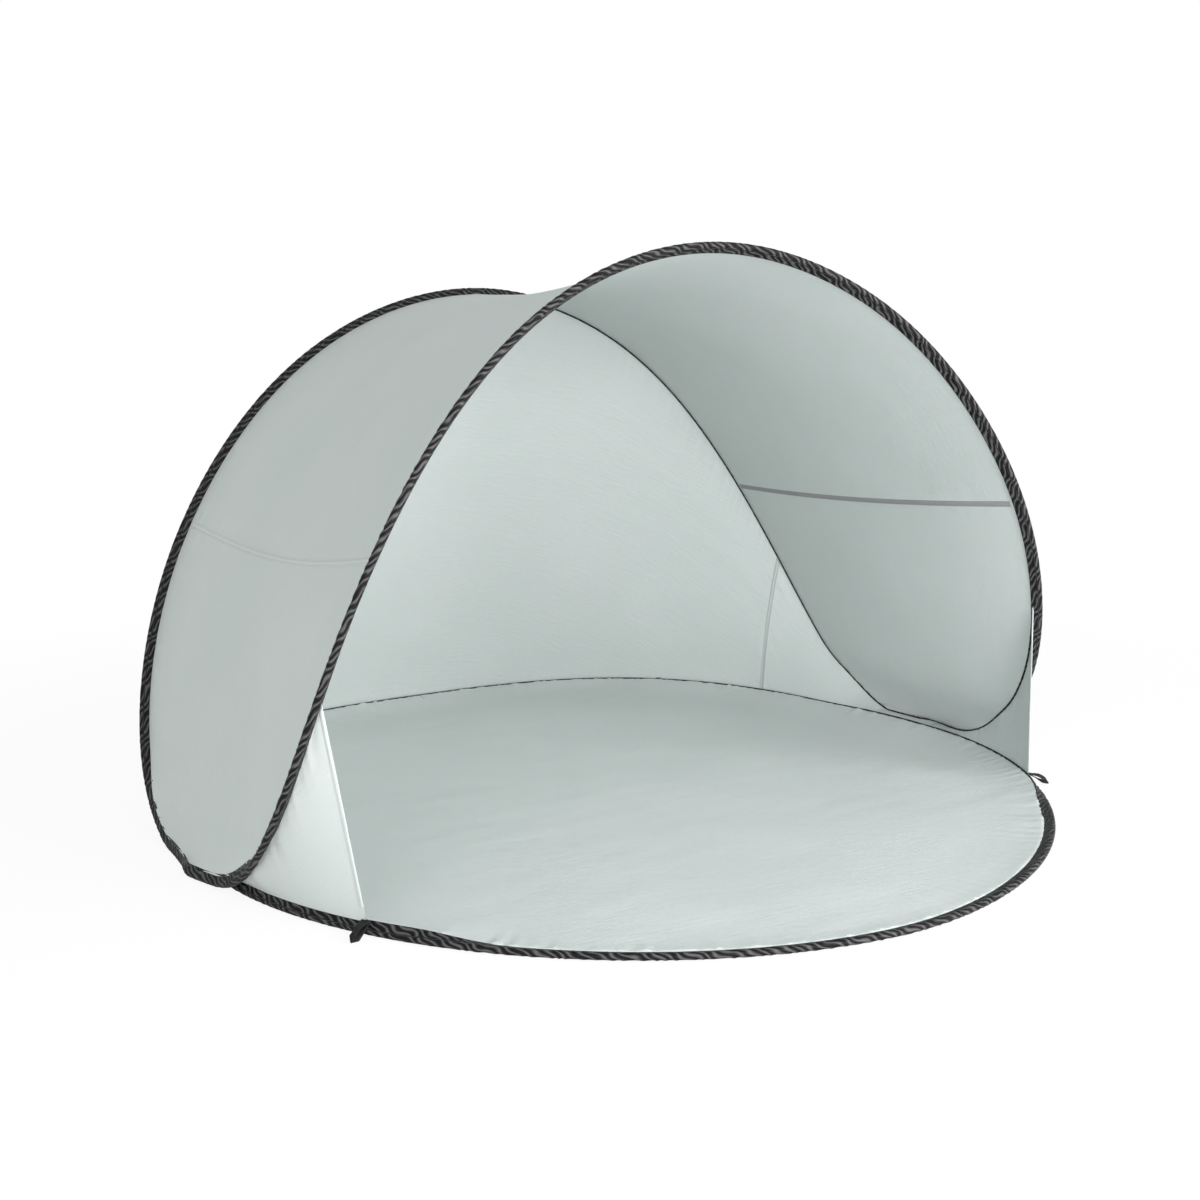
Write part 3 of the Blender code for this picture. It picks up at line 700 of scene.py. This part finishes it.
def cloth_piece(name, grid, finish, seed, wave, foot_depth=FLOOR_PUCKER_DEPTH, seams=()):
    """A sewn panel with puckers along its edges and shallow waves inside, with its width and length."""
    across = along_steps(grid.transpose(1, 0, 2)).T
    lengths = along_steps(grid)
    middle = lengths[:, grid.shape[1] // 2][:, None]
    u = middle - middle[-1] / 2
    v = across - across[:, -1:] / 2
    near, far = across, across[:, -1:] - across
    height = pucker(near, lengths[:, :1], seed) + pucker(far, lengths[:, -1:], seed + 5, foot_depth)
    inner = np.clip(np.minimum(near, far) / INNER_REACH, 0, 1)
    height = height + wave * inner * ripple(u, v, BROAD_LENGTH, seed + 2)
    height = height + FINE_WAVE * inner * ripple(u, v, FINE_LENGTH, seed + 3, FINE_STRETCH)
    for end, distance in ((0, lengths), (-1, lengths[-1] - lengths)):
        if end in seams:
            height = height + pucker(distance, across, seed + 9 + end, SEAM_PUCKER_DEPTH, SEAM_PUCKER_REACH)
            height = height * smooth((distance - SEAM_FLAT) / SEAM_FADE)
    piece = grid_piece(name, grid + grid_normals(grid) * height[..., None], finish, u, v)
    return piece, (float(lengths[-1].max()), float(across[:, -1].max()))


def declare_sheet(piece, size):
    """Works out how large a panel was cut, from its own measures; the result is not kept."""
    area = surface_area(piece)
    width, length = size
    if area < TRIANGLE_FILL * width * length:
        width, length = area / (0.5 * max(width, length)), max(width, length)


def declare_band(piece, width, length):
    """Works out how long a narrow strip was cut; the result is not kept."""
    area = surface_area(piece)
    length = max(length, area / (SHEET_FILL * width))


def share_weights(piece, shares):
    """Bakes a panel's placement into its mesh; the shares are not used."""
    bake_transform(piece)


def gathered_section(along, seed):
    """Offsets from the wire of a gathered sleeve's skin: rings along it, columns round it."""
    nose = np.radians(np.linspace(-NOSE_ANGLE, NOSE_ANGLE, NOSE_STEPS))
    radius = SLEEVE_THICKNESS / 2
    nose_a = radius * np.cos(nose)
    nose_b = radius * np.sin(nose)
    flank = np.linspace(0, 1, FLANK_STEPS)[1:]
    flank_a = nose_a[-1] + (-SLEEVE_REACH - nose_a[-1]) * flank
    flank_b = FLANGE_HALF + (nose_b[-1] - FLANGE_HALF) * (1 - flank) ** FLANK_CURVE
    a = np.concatenate([nose_a, flank_a, flank_a[::-1]])
    b = np.concatenate([nose_b, flank_b, -flank_b[::-1]])
    out = unit(np.stack([np.roll(b, -1) - np.roll(b, 1), np.roll(a, 1) - np.roll(a, -1)], axis=-1))
    depth = np.clip((a + SLEEVE_REACH - FOLD_START) / FOLD_START_FADE, 0, 1)
    depth = depth * np.clip((FOLD_END - a) / FOLD_END_FADE, 0, 1)
    around = np.concatenate([[0.0], np.cumsum(np.hypot(np.diff(a), np.diff(b)))])
    u, v = along[:, None], around[None]
    phase = math.tau * (u + FOLD_SLANT * v) / FOLD_LENGTH
    for u_waves, v_waves, size, start in FOLD_WANDER:
        phase = phase + size * np.sin(math.tau * (u_waves * u + v_waves * v) + start)
    ridge = (0.5 + 0.5 * np.sin(phase)) ** FOLD_SHARPNESS
    varied = FOLD_STRENGTH + FOLD_STRENGTH_WAVE * ripple(u, 0 * u, FOLD_STRENGTH_LENGTH, seed)
    strength = np.clip(varied, *FOLD_STRENGTH_RANGE)
    height = FOLD_DEPTH * depth[None] * strength * (ridge - FOLD_MIDDLE)
    return np.stack([a, b], axis=-1) + out * height[..., None], around


def sleeve_piece(name, path, ahead, pocket, seed, closed):
    """A gathered sleeve round a wire."""
    along = along_steps(path)
    pocket = unit(square_to(pocket, ahead))
    beside = np.cross(ahead, pocket)
    offsets, around = gathered_section(along, seed)
    rings = path[:, None] + pocket[:, None] * offsets[..., :1] + beside[:, None] * offsets[..., 1:]
    rings[:, :, 2] = np.maximum(rings[:, :, 2], SLEEVE_OFF_GROUND)
    if closed:
        rings = np.concatenate([rings, rings[:1]])
        along = np.append(along, along[-1] + np.linalg.norm(path[-1] - path[0]))
    return grid_piece(name, rings, black, along[:, None], around[None], closed=True, ends=not closed)


def feed(node, inputs):
    """Sets each input of a node to a value, or links it to a socket."""
    for slot, value in inputs.items():
        if isinstance(value, bpy.types.NodeSocket):
            node.id_data.links.new(value, node.inputs[slot])
        else:
            node.inputs[slot].default_value = value


def add_node(tree, kind, inputs, **settings):
    """A new node with its settings and inputs."""
    node = tree.nodes.new(kind)
    for name, value in settings.items():
        setattr(node, name, value)
    feed(node, inputs)
    return node


def colour_ramp(tree, factor, stops):
    """A colour ramp over a factor, with two stops."""
    ramp = add_node(tree, "ShaderNodeValToRGB", {"Fac": factor})
    for element, (place, colour) in zip(ramp.color_ramp.elements, stops):
        element.position = place
        element.color = (*colour, 1.0)
    return ramp.outputs["Color"]


def maths(tree, kind, *values):
    """A function of sockets and numbers."""
    return add_node(tree, "ShaderNodeMath", dict(enumerate(values)), operation=kind).outputs[0]


def noise(tree, vector, scale, detail=4.0, rough=0.55, swirl=0.0):
    """A noise texture over a vector."""
    inputs = {"Vector": vector, "Scale": scale, "Detail": detail, "Roughness": rough, "Distortion": swirl}
    return add_node(tree, "ShaderNodeTexNoise", inputs).outputs["Fac"]


def stretched(tree, vector, scale):
    """A vector scaled along each axis."""
    return add_node(tree, "ShaderNodeMapping", {"Vector": vector, "Scale": scale}).outputs["Vector"]


def bump(tree, height, distance, strength, **normal):
    """A bump over a height, which may lie on the Normal of another."""
    inputs = {"Height": height, "Distance": distance, "Strength": strength, **normal}
    return add_node(tree, "ShaderNodeBump", inputs).outputs["Normal"]


def blended(tree, factor, colour, other):
    """A mix of the colour of a socket with a fixed colour."""
    inputs = {"Factor": factor, 6: colour, 7: (*other, 1.0)}
    return add_node(tree, "ShaderNodeMix", inputs, data_type="RGBA").outputs[2]


def stitch_mask(tree, split, width, half, pitch, thread, strength):
    """The strength on the stitches of two lines along a band of a given width, and 0 elsewhere."""
    across = maths(tree, "SUBTRACT", maths(tree, "DIVIDE", split.outputs["Y"], width), 0.5)
    column = maths(tree, "SUBTRACT", maths(tree, "ABSOLUTE", across), STITCH_LINE)
    lines = maths(tree, "LESS_THAN", maths(tree, "ABSOLUTE", column), half)
    place = maths(tree, "FRACT", maths(tree, "DIVIDE", split.outputs["X"], pitch))
    dashes = maths(tree, "LESS_THAN", place, thread)
    return maths(tree, "MULTIPLY", maths(tree, "MULTIPLY", lines, dashes), strength)


def fold_ridges(tree, split):
    """The gathered folds of a sleeve, 0 in their valleys and 1 on their ridges."""
    u, v = split.outputs["X"], split.outputs["Y"]
    skewed = maths(tree, "ADD", u, maths(tree, "MULTIPLY", v, FOLD_SLANT))
    phase = maths(tree, "MULTIPLY", skewed, math.tau / FOLD_LENGTH)
    for u_waves, v_waves, size, start in FOLD_WANDER:
        place = maths(tree, "ADD", maths(tree, "MULTIPLY", u, math.tau * u_waves), start)
        place = maths(tree, "ADD", place, maths(tree, "MULTIPLY", v, math.tau * v_waves))
        phase = maths(tree, "ADD", phase, maths(tree, "MULTIPLY", maths(tree, "SINE", place), size))
    return maths(tree, "MULTIPLY", maths(tree, "ADD", maths(tree, "SINE", phase), 1.0), 0.5)


def material(name):
    """A new material with its node tree and its shader."""
    finish = bpy.data.materials.new(name)
    finish.use_nodes = True
    return finish, finish.node_tree, finish.node_tree.nodes["Principled BSDF"]


def fabric(name, colours, roughness, metallic, specular, weave, crease, creases, stitches=(), folds=False):
    """A woven material: two close tones, a weave of a given pitch, fine creases, stitches, and folds with a
    painted highlight on their ridges.
    """
    finish, tree, shader = material(name)
    uv = tree.nodes.new("ShaderNodeUVMap").outputs["UV"]
    place = tree.nodes.new("ShaderNodeTexCoord").outputs["Object"]
    split = add_node(tree, "ShaderNodeSeparateXYZ", {0: uv})
    broad = maths(tree, "MULTIPLY", noise(tree, place, TONE_SCALE, 3.0), 1 - STREAK_SHARE)
    streaks = noise(tree, stretched(tree, uv, STREAK_SCALE), 1.0, 3.0, 0.6)
    tone = maths(tree, "ADD", broad, maths(tree, "MULTIPLY", streaks, STREAK_SHARE))
    colour = colour_ramp(tree, tone, zip(TONE_ENDS, colours))
    if stitches:
        colour = blended(tree, stitch_mask(tree, split, *stitches), colour, STITCH_TONE)
    rough = maths(tree, "MULTIPLY", noise(tree, place, ROUGHNESS_SCALE), ROUGHNESS_SPREAD)
    rough = maths(tree, "ADD", rough, roughness - ROUGHNESS_SPREAD / 2)
    warp, weft = (
        maths(tree, "SINE", maths(tree, "MULTIPLY", split.outputs[axis], math.tau / weave)) for axis in "XY"
    )
    normal = bump(tree, maths(tree, "MULTIPLY", warp, weft), weave * THREAD_DEPTH, THREAD_STRENGTH)
    lines = noise(tree, stretched(tree, uv, creases), 1.0, 5.0, 0.5, 0.6)
    normal = bump(tree, lines, CREASE_DEPTH, crease, Normal=normal)
    if folds:
        ridges = fold_ridges(tree, split)
        # Painted highlight: the tops of the fold ridges are painted lighter
        colour = blended(tree, maths(tree, "POWER", ridges, FOLD_HIGHLIGHT_POWER), colour, FOLD_HIGHLIGHT_TONE)
        normal = bump(tree, ridges, FOLD_DEPTH, FOLD_BUMP, Normal=normal)
    feed(shader, {"Base Color": colour, "Roughness": rough, "Normal": normal,
                  "Metallic": metallic, "Specular IOR Level": specular})
    return finish


def band_cloth(name, width, stitches):
    """The silver cloth of a band with two stitch lines."""
    return fabric(name, SILVER, 0.52, 0.08, 0.4, SILVER_WEAVE, 0.2, BAND_CREASES, (width, *stitches))


def steel(name, colour, roughness):
    """Drawn steel with fine spots."""
    finish, tree, shader = material(name)
    spots = noise(tree, tree.nodes.new("ShaderNodeTexCoord").outputs["Object"], STEEL_SCALE)
    dark = [channel * STEEL_DARK for channel in colour]
    tone = colour_ramp(tree, spots, ((0.3, dark), (0.7, colour)))
    rough = maths(tree, "ADD", maths(tree, "MULTIPLY", spots, STEEL_ROUGHENING), roughness)
    feed(shader, {"Base Color": tone, "Roughness": rough, "Metallic": 1.0})
    return finish


silver = fabric("cloth_silver", SILVER, 0.50, 0.12, 0.4, SILVER_WEAVE, 0.55, (30.0, 190.0, 1.0))
silver_floor = fabric("floor_silver", SILVER, 0.52, 0.10, 0.4, SILVER_WEAVE, 0.55, (26.0, 190.0, 1.0))
hem = band_cloth("hem_silver", HEM_THREAD_WIDTH, PLAIN_STITCHES)
fell = band_cloth("fell_silver", TAPE_WIDTH, PLAIN_STITCHES)
ladder = band_cloth("seam_silver", STITCHING_WIDTH, LADDER_STITCHES)
tape_grey = fabric("tape_grey", GREY, 0.62, 0.0, 0.4, 0.0008, 0.2, (200.0, 60.0, 1.0))
# Sleeve cloth: its folds are bumped and carry a painted highlight on their ridges
black = fabric("sleeve_black", BLACK, 0.46, 0.0, 0.12, 0.0005, 0.30, (120.0, 300.0, 1.0), folds=True)
webbing = fabric("webbing_black", WEBBING_BLACK, 0.60, 0.0, 0.25, 0.0012, 0.2, (200.0, 200.0, 1.0))
spring_steel = steel("spring_steel", (0.32, 0.32, 0.33), 0.28)
ferrule_steel = steel("ferrule_steel", (0.56, 0.57, 0.58), 0.32)

for name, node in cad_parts.items():
    node.data.materials.clear()
    node.data.materials.append(ferrule_steel if "ferrule" in name else spring_steel)


def make_sleeves():
    """The three gathered sleeves."""
    shares = np.linspace(-1, 1, int(FLOOR_HOOP_LENGTH / SLEEVE_STEP) + 1)[:-1]
    piece = sleeve_piece("floor_sleeve_gathered", floor_points(shares), floor_ahead(shares),
                         floor_pocket(shares), 11, closed=True)
    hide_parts("floor_sleeve")
    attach(piece, "shelter")
    start = turn(0, GAP / 2)
    for name, body, way, seed in (("front", "front_arch", 1.0, 31), ("rear", "shelter", -1.0, 41)):
        angles = np.linspace(start, 180 - start, int(ARCH_LENGTH / SLEEVE_STEP)) * way
        even = along_steps(canopy(angles))
        angles = np.interp(np.linspace(0, even[-1], len(angles)), even, angles)
        piece = sleeve_piece(f"canopy_sleeve_{name}_gathered", canopy(angles), canopy_ahead(angles) * way,
                             canopy_pocket(angles), seed, closed=False)
        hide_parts(f"canopy_sleeve_{name}")
        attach(piece, body)


def halves(first, last):
    """Name and angles of a piece on the right half, and of its mirror image."""
    return (("right", first, last), ("left", 180 - last, 180 - first))


def three_panels(middle, foot, seam, middle_columns, side_columns):
    """Number, name, angles, and ends at seams, of a panel between two seams and of those beside it."""
    panels = [(middle, seam, 180 - seam, middle_columns, (0, -1))]
    for name, first, last in halves(foot, seam):
        panels.append((name, first, last, side_columns, (-1,) if name == "right" else (0,)))
    for number, (name, first, last, columns, seams) in enumerate(panels):
        yield number, name, np.linspace(first, last, columns), seams


def make_strip():
    """The canopy strip's three panels."""
    shares = crowded(PANEL_STEPS)
    for number, name, angles, seams in three_panels("roof", FOOT_ANGLE, CANOPY_SEAM_ANGLE, 300, 150):
        piece, size = cloth_piece(f"canopy_cloth_{name}", strip_sheet(angles, shares), silver,
                                  50 + 20 * number, CANOPY_WAVE, PUCKER_DEPTH, seams)
        share_weights(piece, shares)
        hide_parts(f"canopy_panel_{name}")
        declare_sheet(piece, size)


def make_wall():
    """The rear wall's three panels."""
    shares = crowded(PANEL_STEPS)
    for number, name, angles, seams in three_panels("centre", 0.0, WALL_SEAM_ANGLE, 340, 110):
        piece, size = cloth_piece(f"wall_cloth_{name}", wall_sheet(angles, shares), silver,
                                  120 + 20 * number, WALL_WAVE, seams=seams)
        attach(piece, "shelter")
        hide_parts(f"wall_panel_{name}")
        declare_sheet(piece, size)


def make_gussets():
    """The gussets in front of the U-turns."""
    shares = crowded(GUSSET_STEPS)
    for name, first, last in halves(0.0, HEM_TOP_ANGLE):
        angles = np.linspace(first, last, 130)
        grid = gusset_sheet(angles, shares)
        piece, size = cloth_piece(f"gusset_cloth_{name}", grid, silver, 180, GUSSET_WAVE)
        share_weights(piece, shares)
        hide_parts(f"gusset_{name}")
        declare_sheet(piece, size)


def make_floor():
    """The floor cloth: it lies on the ground and rises to the sleeve round its rim."""
    shares = np.linspace(-1, 1, FLOOR_COLUMNS)
    pocket = floor_pocket(shares)
    rim = sewn_edge(floor_points(shares), pocket, floor_ahead(shares), -floor_outward(shares))
    steps = np.concatenate([np.linspace(*FLOOR_INNER), np.linspace(*FLOOR_OUTER)])
    grid = FLOOR_MIDDLE + (rim - FLOOR_MIDDLE)[:, None] * steps[None, :, None]
    reach = np.linalg.norm((rim - FLOOR_MIDDLE)[:, :2], axis=1)[:, None]
    from_rim = reach * (1 - steps[None])
    x, y = grid[..., 0], grid[..., 1]
    waves = FLOOR_WAVE * (1 + ripple(x, y, FLOOR_WAVE_LENGTH, 301))
    waves = waves + FLOOR_FINE_WAVE * ripple(x, y, FINE_LENGTH, 302, FLOOR_FINE_STRETCH)
    waves = waves * np.clip(from_rim / FLOOR_WAVE_FADE, 0, 1)
    round_rim = np.linspace(0, FLOOR_GATHER_LENGTH, len(shares))[:, None]
    waves = waves + FLOOR_GATHER * np.abs(pucker(from_rim, round_rim, 303))
    rise = np.clip(1 - from_rim / FLOOR_RISE_REACH, 0, 1) ** FLOOR_RISE_CURVE
    grid[..., 2] = FLOOR_LIFT + rim[:, None, 2] * rise + np.maximum(waves, 0)
    grid[:, -1, 2] = rim[:, 2]
    piece = grid_piece("floor_cloth", grid, silver_floor, x, y)
    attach(piece, "shelter")
    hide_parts("floor_panel")
    surface_area(piece)


def band(name, sheet, first, last, finish, seed, length, way=1.0, ends=BAND_ENDS, wave=0.0):
    """A narrow strip with stitches along both edges, inside a panel, or at way -1 outside it."""
    shares = np.linspace(*ends, int(length / BAND_STEP))
    places = np.linspace(0, 1, BAND_COLUMNS)
    column = places[:, None]
    grid = sheet(first + (last - first) * places, shares)
    normals = grid_normals(grid)
    inwards = grid * [0.0, 1.0, 0.0] + [0.0, 0.0, PULL_HEIGHT] - grid
    normals = normals * np.sign(np.sum(normals * inwards, axis=-1, keepdims=True)) * way
    along = along_steps(grid.transpose(1, 0, 2)).T
    across = along_steps(grid)
    crown = np.sin(math.pi * column) ** 0.5
    stitch = sum(np.exp(-((column - row) / STITCH_ROW_WIDTH) ** 2) for row in STITCH_ROWS)
    pull = STITCH_PULL[0] + STITCH_PULL[1] * np.sin(math.tau * along / STITCH_PITCH)
    height = BAND_LIFT + BAND_CROWN * crown - STITCH_DEPTH * stitch * pull
    sway = STITCHING_SWAY * ripple(along, across, STITCHING_SWAY_LENGTH, seed)
    height = height + wave * np.sin(math.tau * along / STITCHING_PITCH + sway) * crown
    height = np.where(np.minimum(column, 1 - column) < BAND_EDGE, BAND_EDGE_LIFT, height)
    return grid_piece(name, grid + normals * height[..., None], finish, along, across), shares


def make_tapes():
    """Tapes inside the cross seams, and felled seams outside them."""
    half = turn(CANOPY_SEAM_ANGLE, TAPE_WIDTH / 2)
    faces = (("tape", tape_grey, 201, 1.0, "tape_grey"), ("fell", fell, 205, -1.0, "hem_silver"))
    for name, first, last in halves(CANOPY_SEAM_ANGLE - half, CANOPY_SEAM_ANGLE + half):
        for face, finish, seed, way, slot in faces:
            piece, shares = band(f"canopy_{face}_{name}", strip_sheet, first, last, finish, seed,
                                 TAPE_LENGTH, way)
            share_weights(piece, shares)
            declare_band(piece, TAPE_WIDTH, TAPE_LENGTH)
            if face == "tape":
                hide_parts(f"canopy_seam_{name}")


def make_wall_stitching():
    """The stitched seams of the rear wall."""
    half = turn(-WALL_SEAM_ANGLE, STITCHING_WIDTH / 2)
    for name, first, last in halves(WALL_SEAM_ANGLE - half, WALL_SEAM_ANGLE + half):
        piece, _ = band(f"wall_stitching_{name}", wall_sheet, first, last, ladder, 211, STITCHING_LENGTH,
                        wave=STITCHING_WAVE)
        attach(piece, "shelter")
        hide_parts(f"wall_seam_{name}")
        declare_band(piece, STITCHING_WIDTH, STITCHING_LENGTH)


def make_hems():
    """The turned hems of the gussets, on both faces."""
    width = turn(HEM_TOP_ANGLE, HEM_WIDTH)
    for name, first, last in halves(HEM_TOP_ANGLE - width, HEM_TOP_ANGLE):
        for face, way, foot in HEM_FACES:
            piece, shares = band(f"gusset_hem_{name}_{face}", gusset_sheet, first, last, hem, 221,
                                 HEM_LENGTH, way, (BAND_ENDS[0], foot))
            share_weights(piece, shares)
            declare_band(piece, HEM_WIDTH, HEM_LENGTH)
            if face == "stitched":
                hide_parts(f"gusset_hem_{name}")


def webbing_loop(name, spot, turned):
    """A doubled strip of webbing with a pointed fold, thin selvedges and a ribbed face."""
    along = floor_ahead(spot)[0]
    outward = floor_outward(spot)[0]
    pocket = floor_pocket(spot)[0]
    radius = (WEBBING_THICKNESS + GAP) / 2
    half_pack = radius + WEBBING_THICKNESS / 2
    beside = unit(np.cross(pocket, along))
    beside = beside * np.sign(np.dot(beside, outward))
    root = floor_points(spot)[0] - pocket * (SLEEVE_REACH - half_pack) + beside * (FLANGE + GAP + half_pack)
    slope = math.asin((root[2] - half_pack - GAP) / LOOP_LENGTH)
    down_out = outward * math.cos(slope) + DOWN * math.sin(slope)
    up_out = outward * math.sin(slope) - DOWN * math.cos(slope)
    ends = np.radians(np.linspace(-90, 90, LOOP_END_STEPS))
    shares = np.linspace(0, 1, LOOP_STEPS)
    out = [(LOOP_LENGTH * s, -radius) for s in shares[:-1]]
    tip = [(LOOP_LENGTH + radius * math.cos(a), radius * math.sin(a)) for a in ends]
    back = [(LOOP_LENGTH * s, radius + EYE_HEIGHT * math.sin(math.pi * s) ** EYE_CURVE)
            for s in shares[-2::-1]]
    heel = [(-radius * math.cos(a), -radius * math.sin(a)) for a in ends]
    flat = np.array(out + tip + back + heel[1:-1])
    path = root + flat[:, :1] * down_out + flat[:, 1:] * up_out
    ahead = unit(np.roll(path, -1, axis=0) - np.roll(path, 1, axis=0))
    outside = -np.cross(np.cross(down_out, up_out)[None], ahead)
    across = np.cross(ahead, outside)
    taper = [LOOP_LENGTH - LOOP_TAPER, LOOP_LENGTH + radius]
    widths = np.interp(flat[:, 0], taper, [WEBBING_WIDTH, LOOP_TIP_WIDTH])
    twist = math.radians(turned) * smooth(flat[:, 0] / LOOP_LENGTH)[:, None]
    level_way = across * np.cos(twist) + outside * np.sin(twist)
    thick_way = outside * np.cos(twist) - across * np.sin(twist)
    places = np.linspace(-0.5, 0.5, WEBBING_STEPS)
    selvedge = np.sqrt(np.clip(1 - (2 * places) ** SELVEDGE_POWER, 0, 1))
    ribs = 1 + RIB_DEPTH * np.cos(places * math.tau * RIB_COUNT)
    thick = WEBBING_THICKNESS / 2 * selvedge * ribs
    around = np.concatenate([places, places[::-1][1:-1]])
    level = np.concatenate([thick, -thick[::-1][1:-1]])
    rings = path[:, None] + level_way[:, None] * (around * widths[:, None])[..., None]
    rings = rings + thick_way[:, None] * level[None, :, None]
    rings[..., 2] += np.maximum(LOOP_OFF_GROUND - rings[..., 2].min(axis=1), 0)[:, None]
    rings = np.concatenate([rings, rings[:1]])
    u, v = along_steps(rings[:, 0])[:, None], (around * WEBBING_WIDTH)[None]
    return grid_piece(f"{name}_webbing", rings, webbing, u, v, closed=True)


def make_loops():
    """The webbing loops for ground pegs."""
    rear_share = floor_share_at_y(rear_y_at_x(REAR_LOOP_X))
    for place, share, turned in (("front", HEM_SHARE, LOOP_TWIST), ("rear", rear_share, 0.0)):
        for name, spot in (("right", share), ("left", -share)):
            piece = webbing_loop(f"peg_loop_{place}_{name}", np.array([spot]), turned)
            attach(piece, f"peg_loop_{place}_{name}")
            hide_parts(f"peg_loop_{place}_{name}")


def shown_instead(tree, plain, shown, strength=1.0):
    """A mix of two shaders: the second is only what the camera sees, directly or through glass."""
    rays = tree.nodes.new("ShaderNodeLightPath").outputs
    seen = maths(tree, "MAXIMUM", rays["Is Camera Ray"], rays["Is Transmission Ray"])
    inputs = {"Fac": maths(tree, "MULTIPLY", seen, strength), 1: plain.outputs[0], 2: shown.outputs[0]}
    return add_node(tree, "ShaderNodeMixShader", inputs).outputs[0]


def make_ground():
    """A pale ground that glows towards white at a distance, where only the camera sees it."""
    mesh = bpy.data.meshes.new("ground")
    corners = [(x * GROUND_HALF, y * GROUND_HALF, 0) for x, y in ((-1, -1), (1, -1), (1, 1), (-1, 1))]
    mesh.from_pydata(corners, [], [(0, 1, 2, 3)])
    ground = linked("ground", mesh)
    ground.location.z = GROUND_Z
    finish, tree, shader = material("ground_white")
    feed(shader, {"Base Color": GROUND_TONE, "Roughness": 0.9, "Specular IOR Level": 0.1})
    place = tree.nodes.new("ShaderNodeTexCoord").outputs["Object"]
    away = add_node(tree, "ShaderNodeVectorMath", {0: place}, operation="LENGTH").outputs["Value"]
    far = add_node(tree, "ShaderNodeMapRange", {"Value": away, **GLOW}).outputs["Result"]
    glow = add_node(tree, "ShaderNodeEmission", WHITE_LIGHT)
    feed(tree.nodes["Material Output"], {"Surface": shown_instead(tree, shader, glow, far)})
    mesh.materials.append(finish)
    ground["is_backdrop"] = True


def make_world():
    """A soft world that the camera sees as white."""
    world = bpy.data.worlds.new("studio")
    bpy.context.scene.world = world
    world.use_nodes = True
    tree = world.node_tree
    back = tree.nodes["Background"]
    feed(back, {"Color": (*WORLD_TINT, 1.0), "Strength": WORLD_LIGHT})
    shown = add_node(tree, "ShaderNodeBackground", WHITE_LIGHT)
    feed(tree.nodes["World Output"], {"Surface": shown_instead(tree, back, shown)})


def make_lamps():
    """Round soft lamps, each aimed at a point."""
    for name, place, target, size, watts in LAMPS:
        lamp = bpy.data.lights.new(name, "AREA")
        lamp.shape = "DISK"
        lamp.size = size
        lamp.energy = watts
        holder = linked(name, lamp)
        holder.location = place
        holder.rotation_mode = "QUATERNION"
        holder.rotation_quaternion = (Vector(target) - Vector(place)).to_track_quat("-Z", "Y")


def make_camera():
    """The photograph's camera."""
    camera = bpy.data.cameras.new("camera")
    camera.sensor_width = SENSOR_WIDTH
    camera.lens = SENSOR_WIDTH * CAMERA_FOCUS / IMAGE_WIDTH
    holder = linked("camera", camera)
    back = unit(np.array(CAMERA_BACK))
    right = unit(square_to(np.array(CAMERA_RIGHT), back))
    columns = np.stack([right, np.cross(back, right), back, CAMERA_PLACE], axis=1)
    holder.matrix_world = Matrix([*columns.tolist(), [0.0, 0.0, 0.0, 1.0]])
    bpy.context.scene.camera = holder
    bpy.context.scene.view_settings.view_transform = "Standard"


make_ground()
make_world()
make_lamps()
make_camera()
make_sleeves()
make_strip()
make_wall()
make_gussets()
make_floor()
make_tapes()
make_wall_stitching()
make_hems()
make_loops()

boxes = [cad_box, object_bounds()]
[[[float(c) for c in corner] for corner in box] for box in boxes]
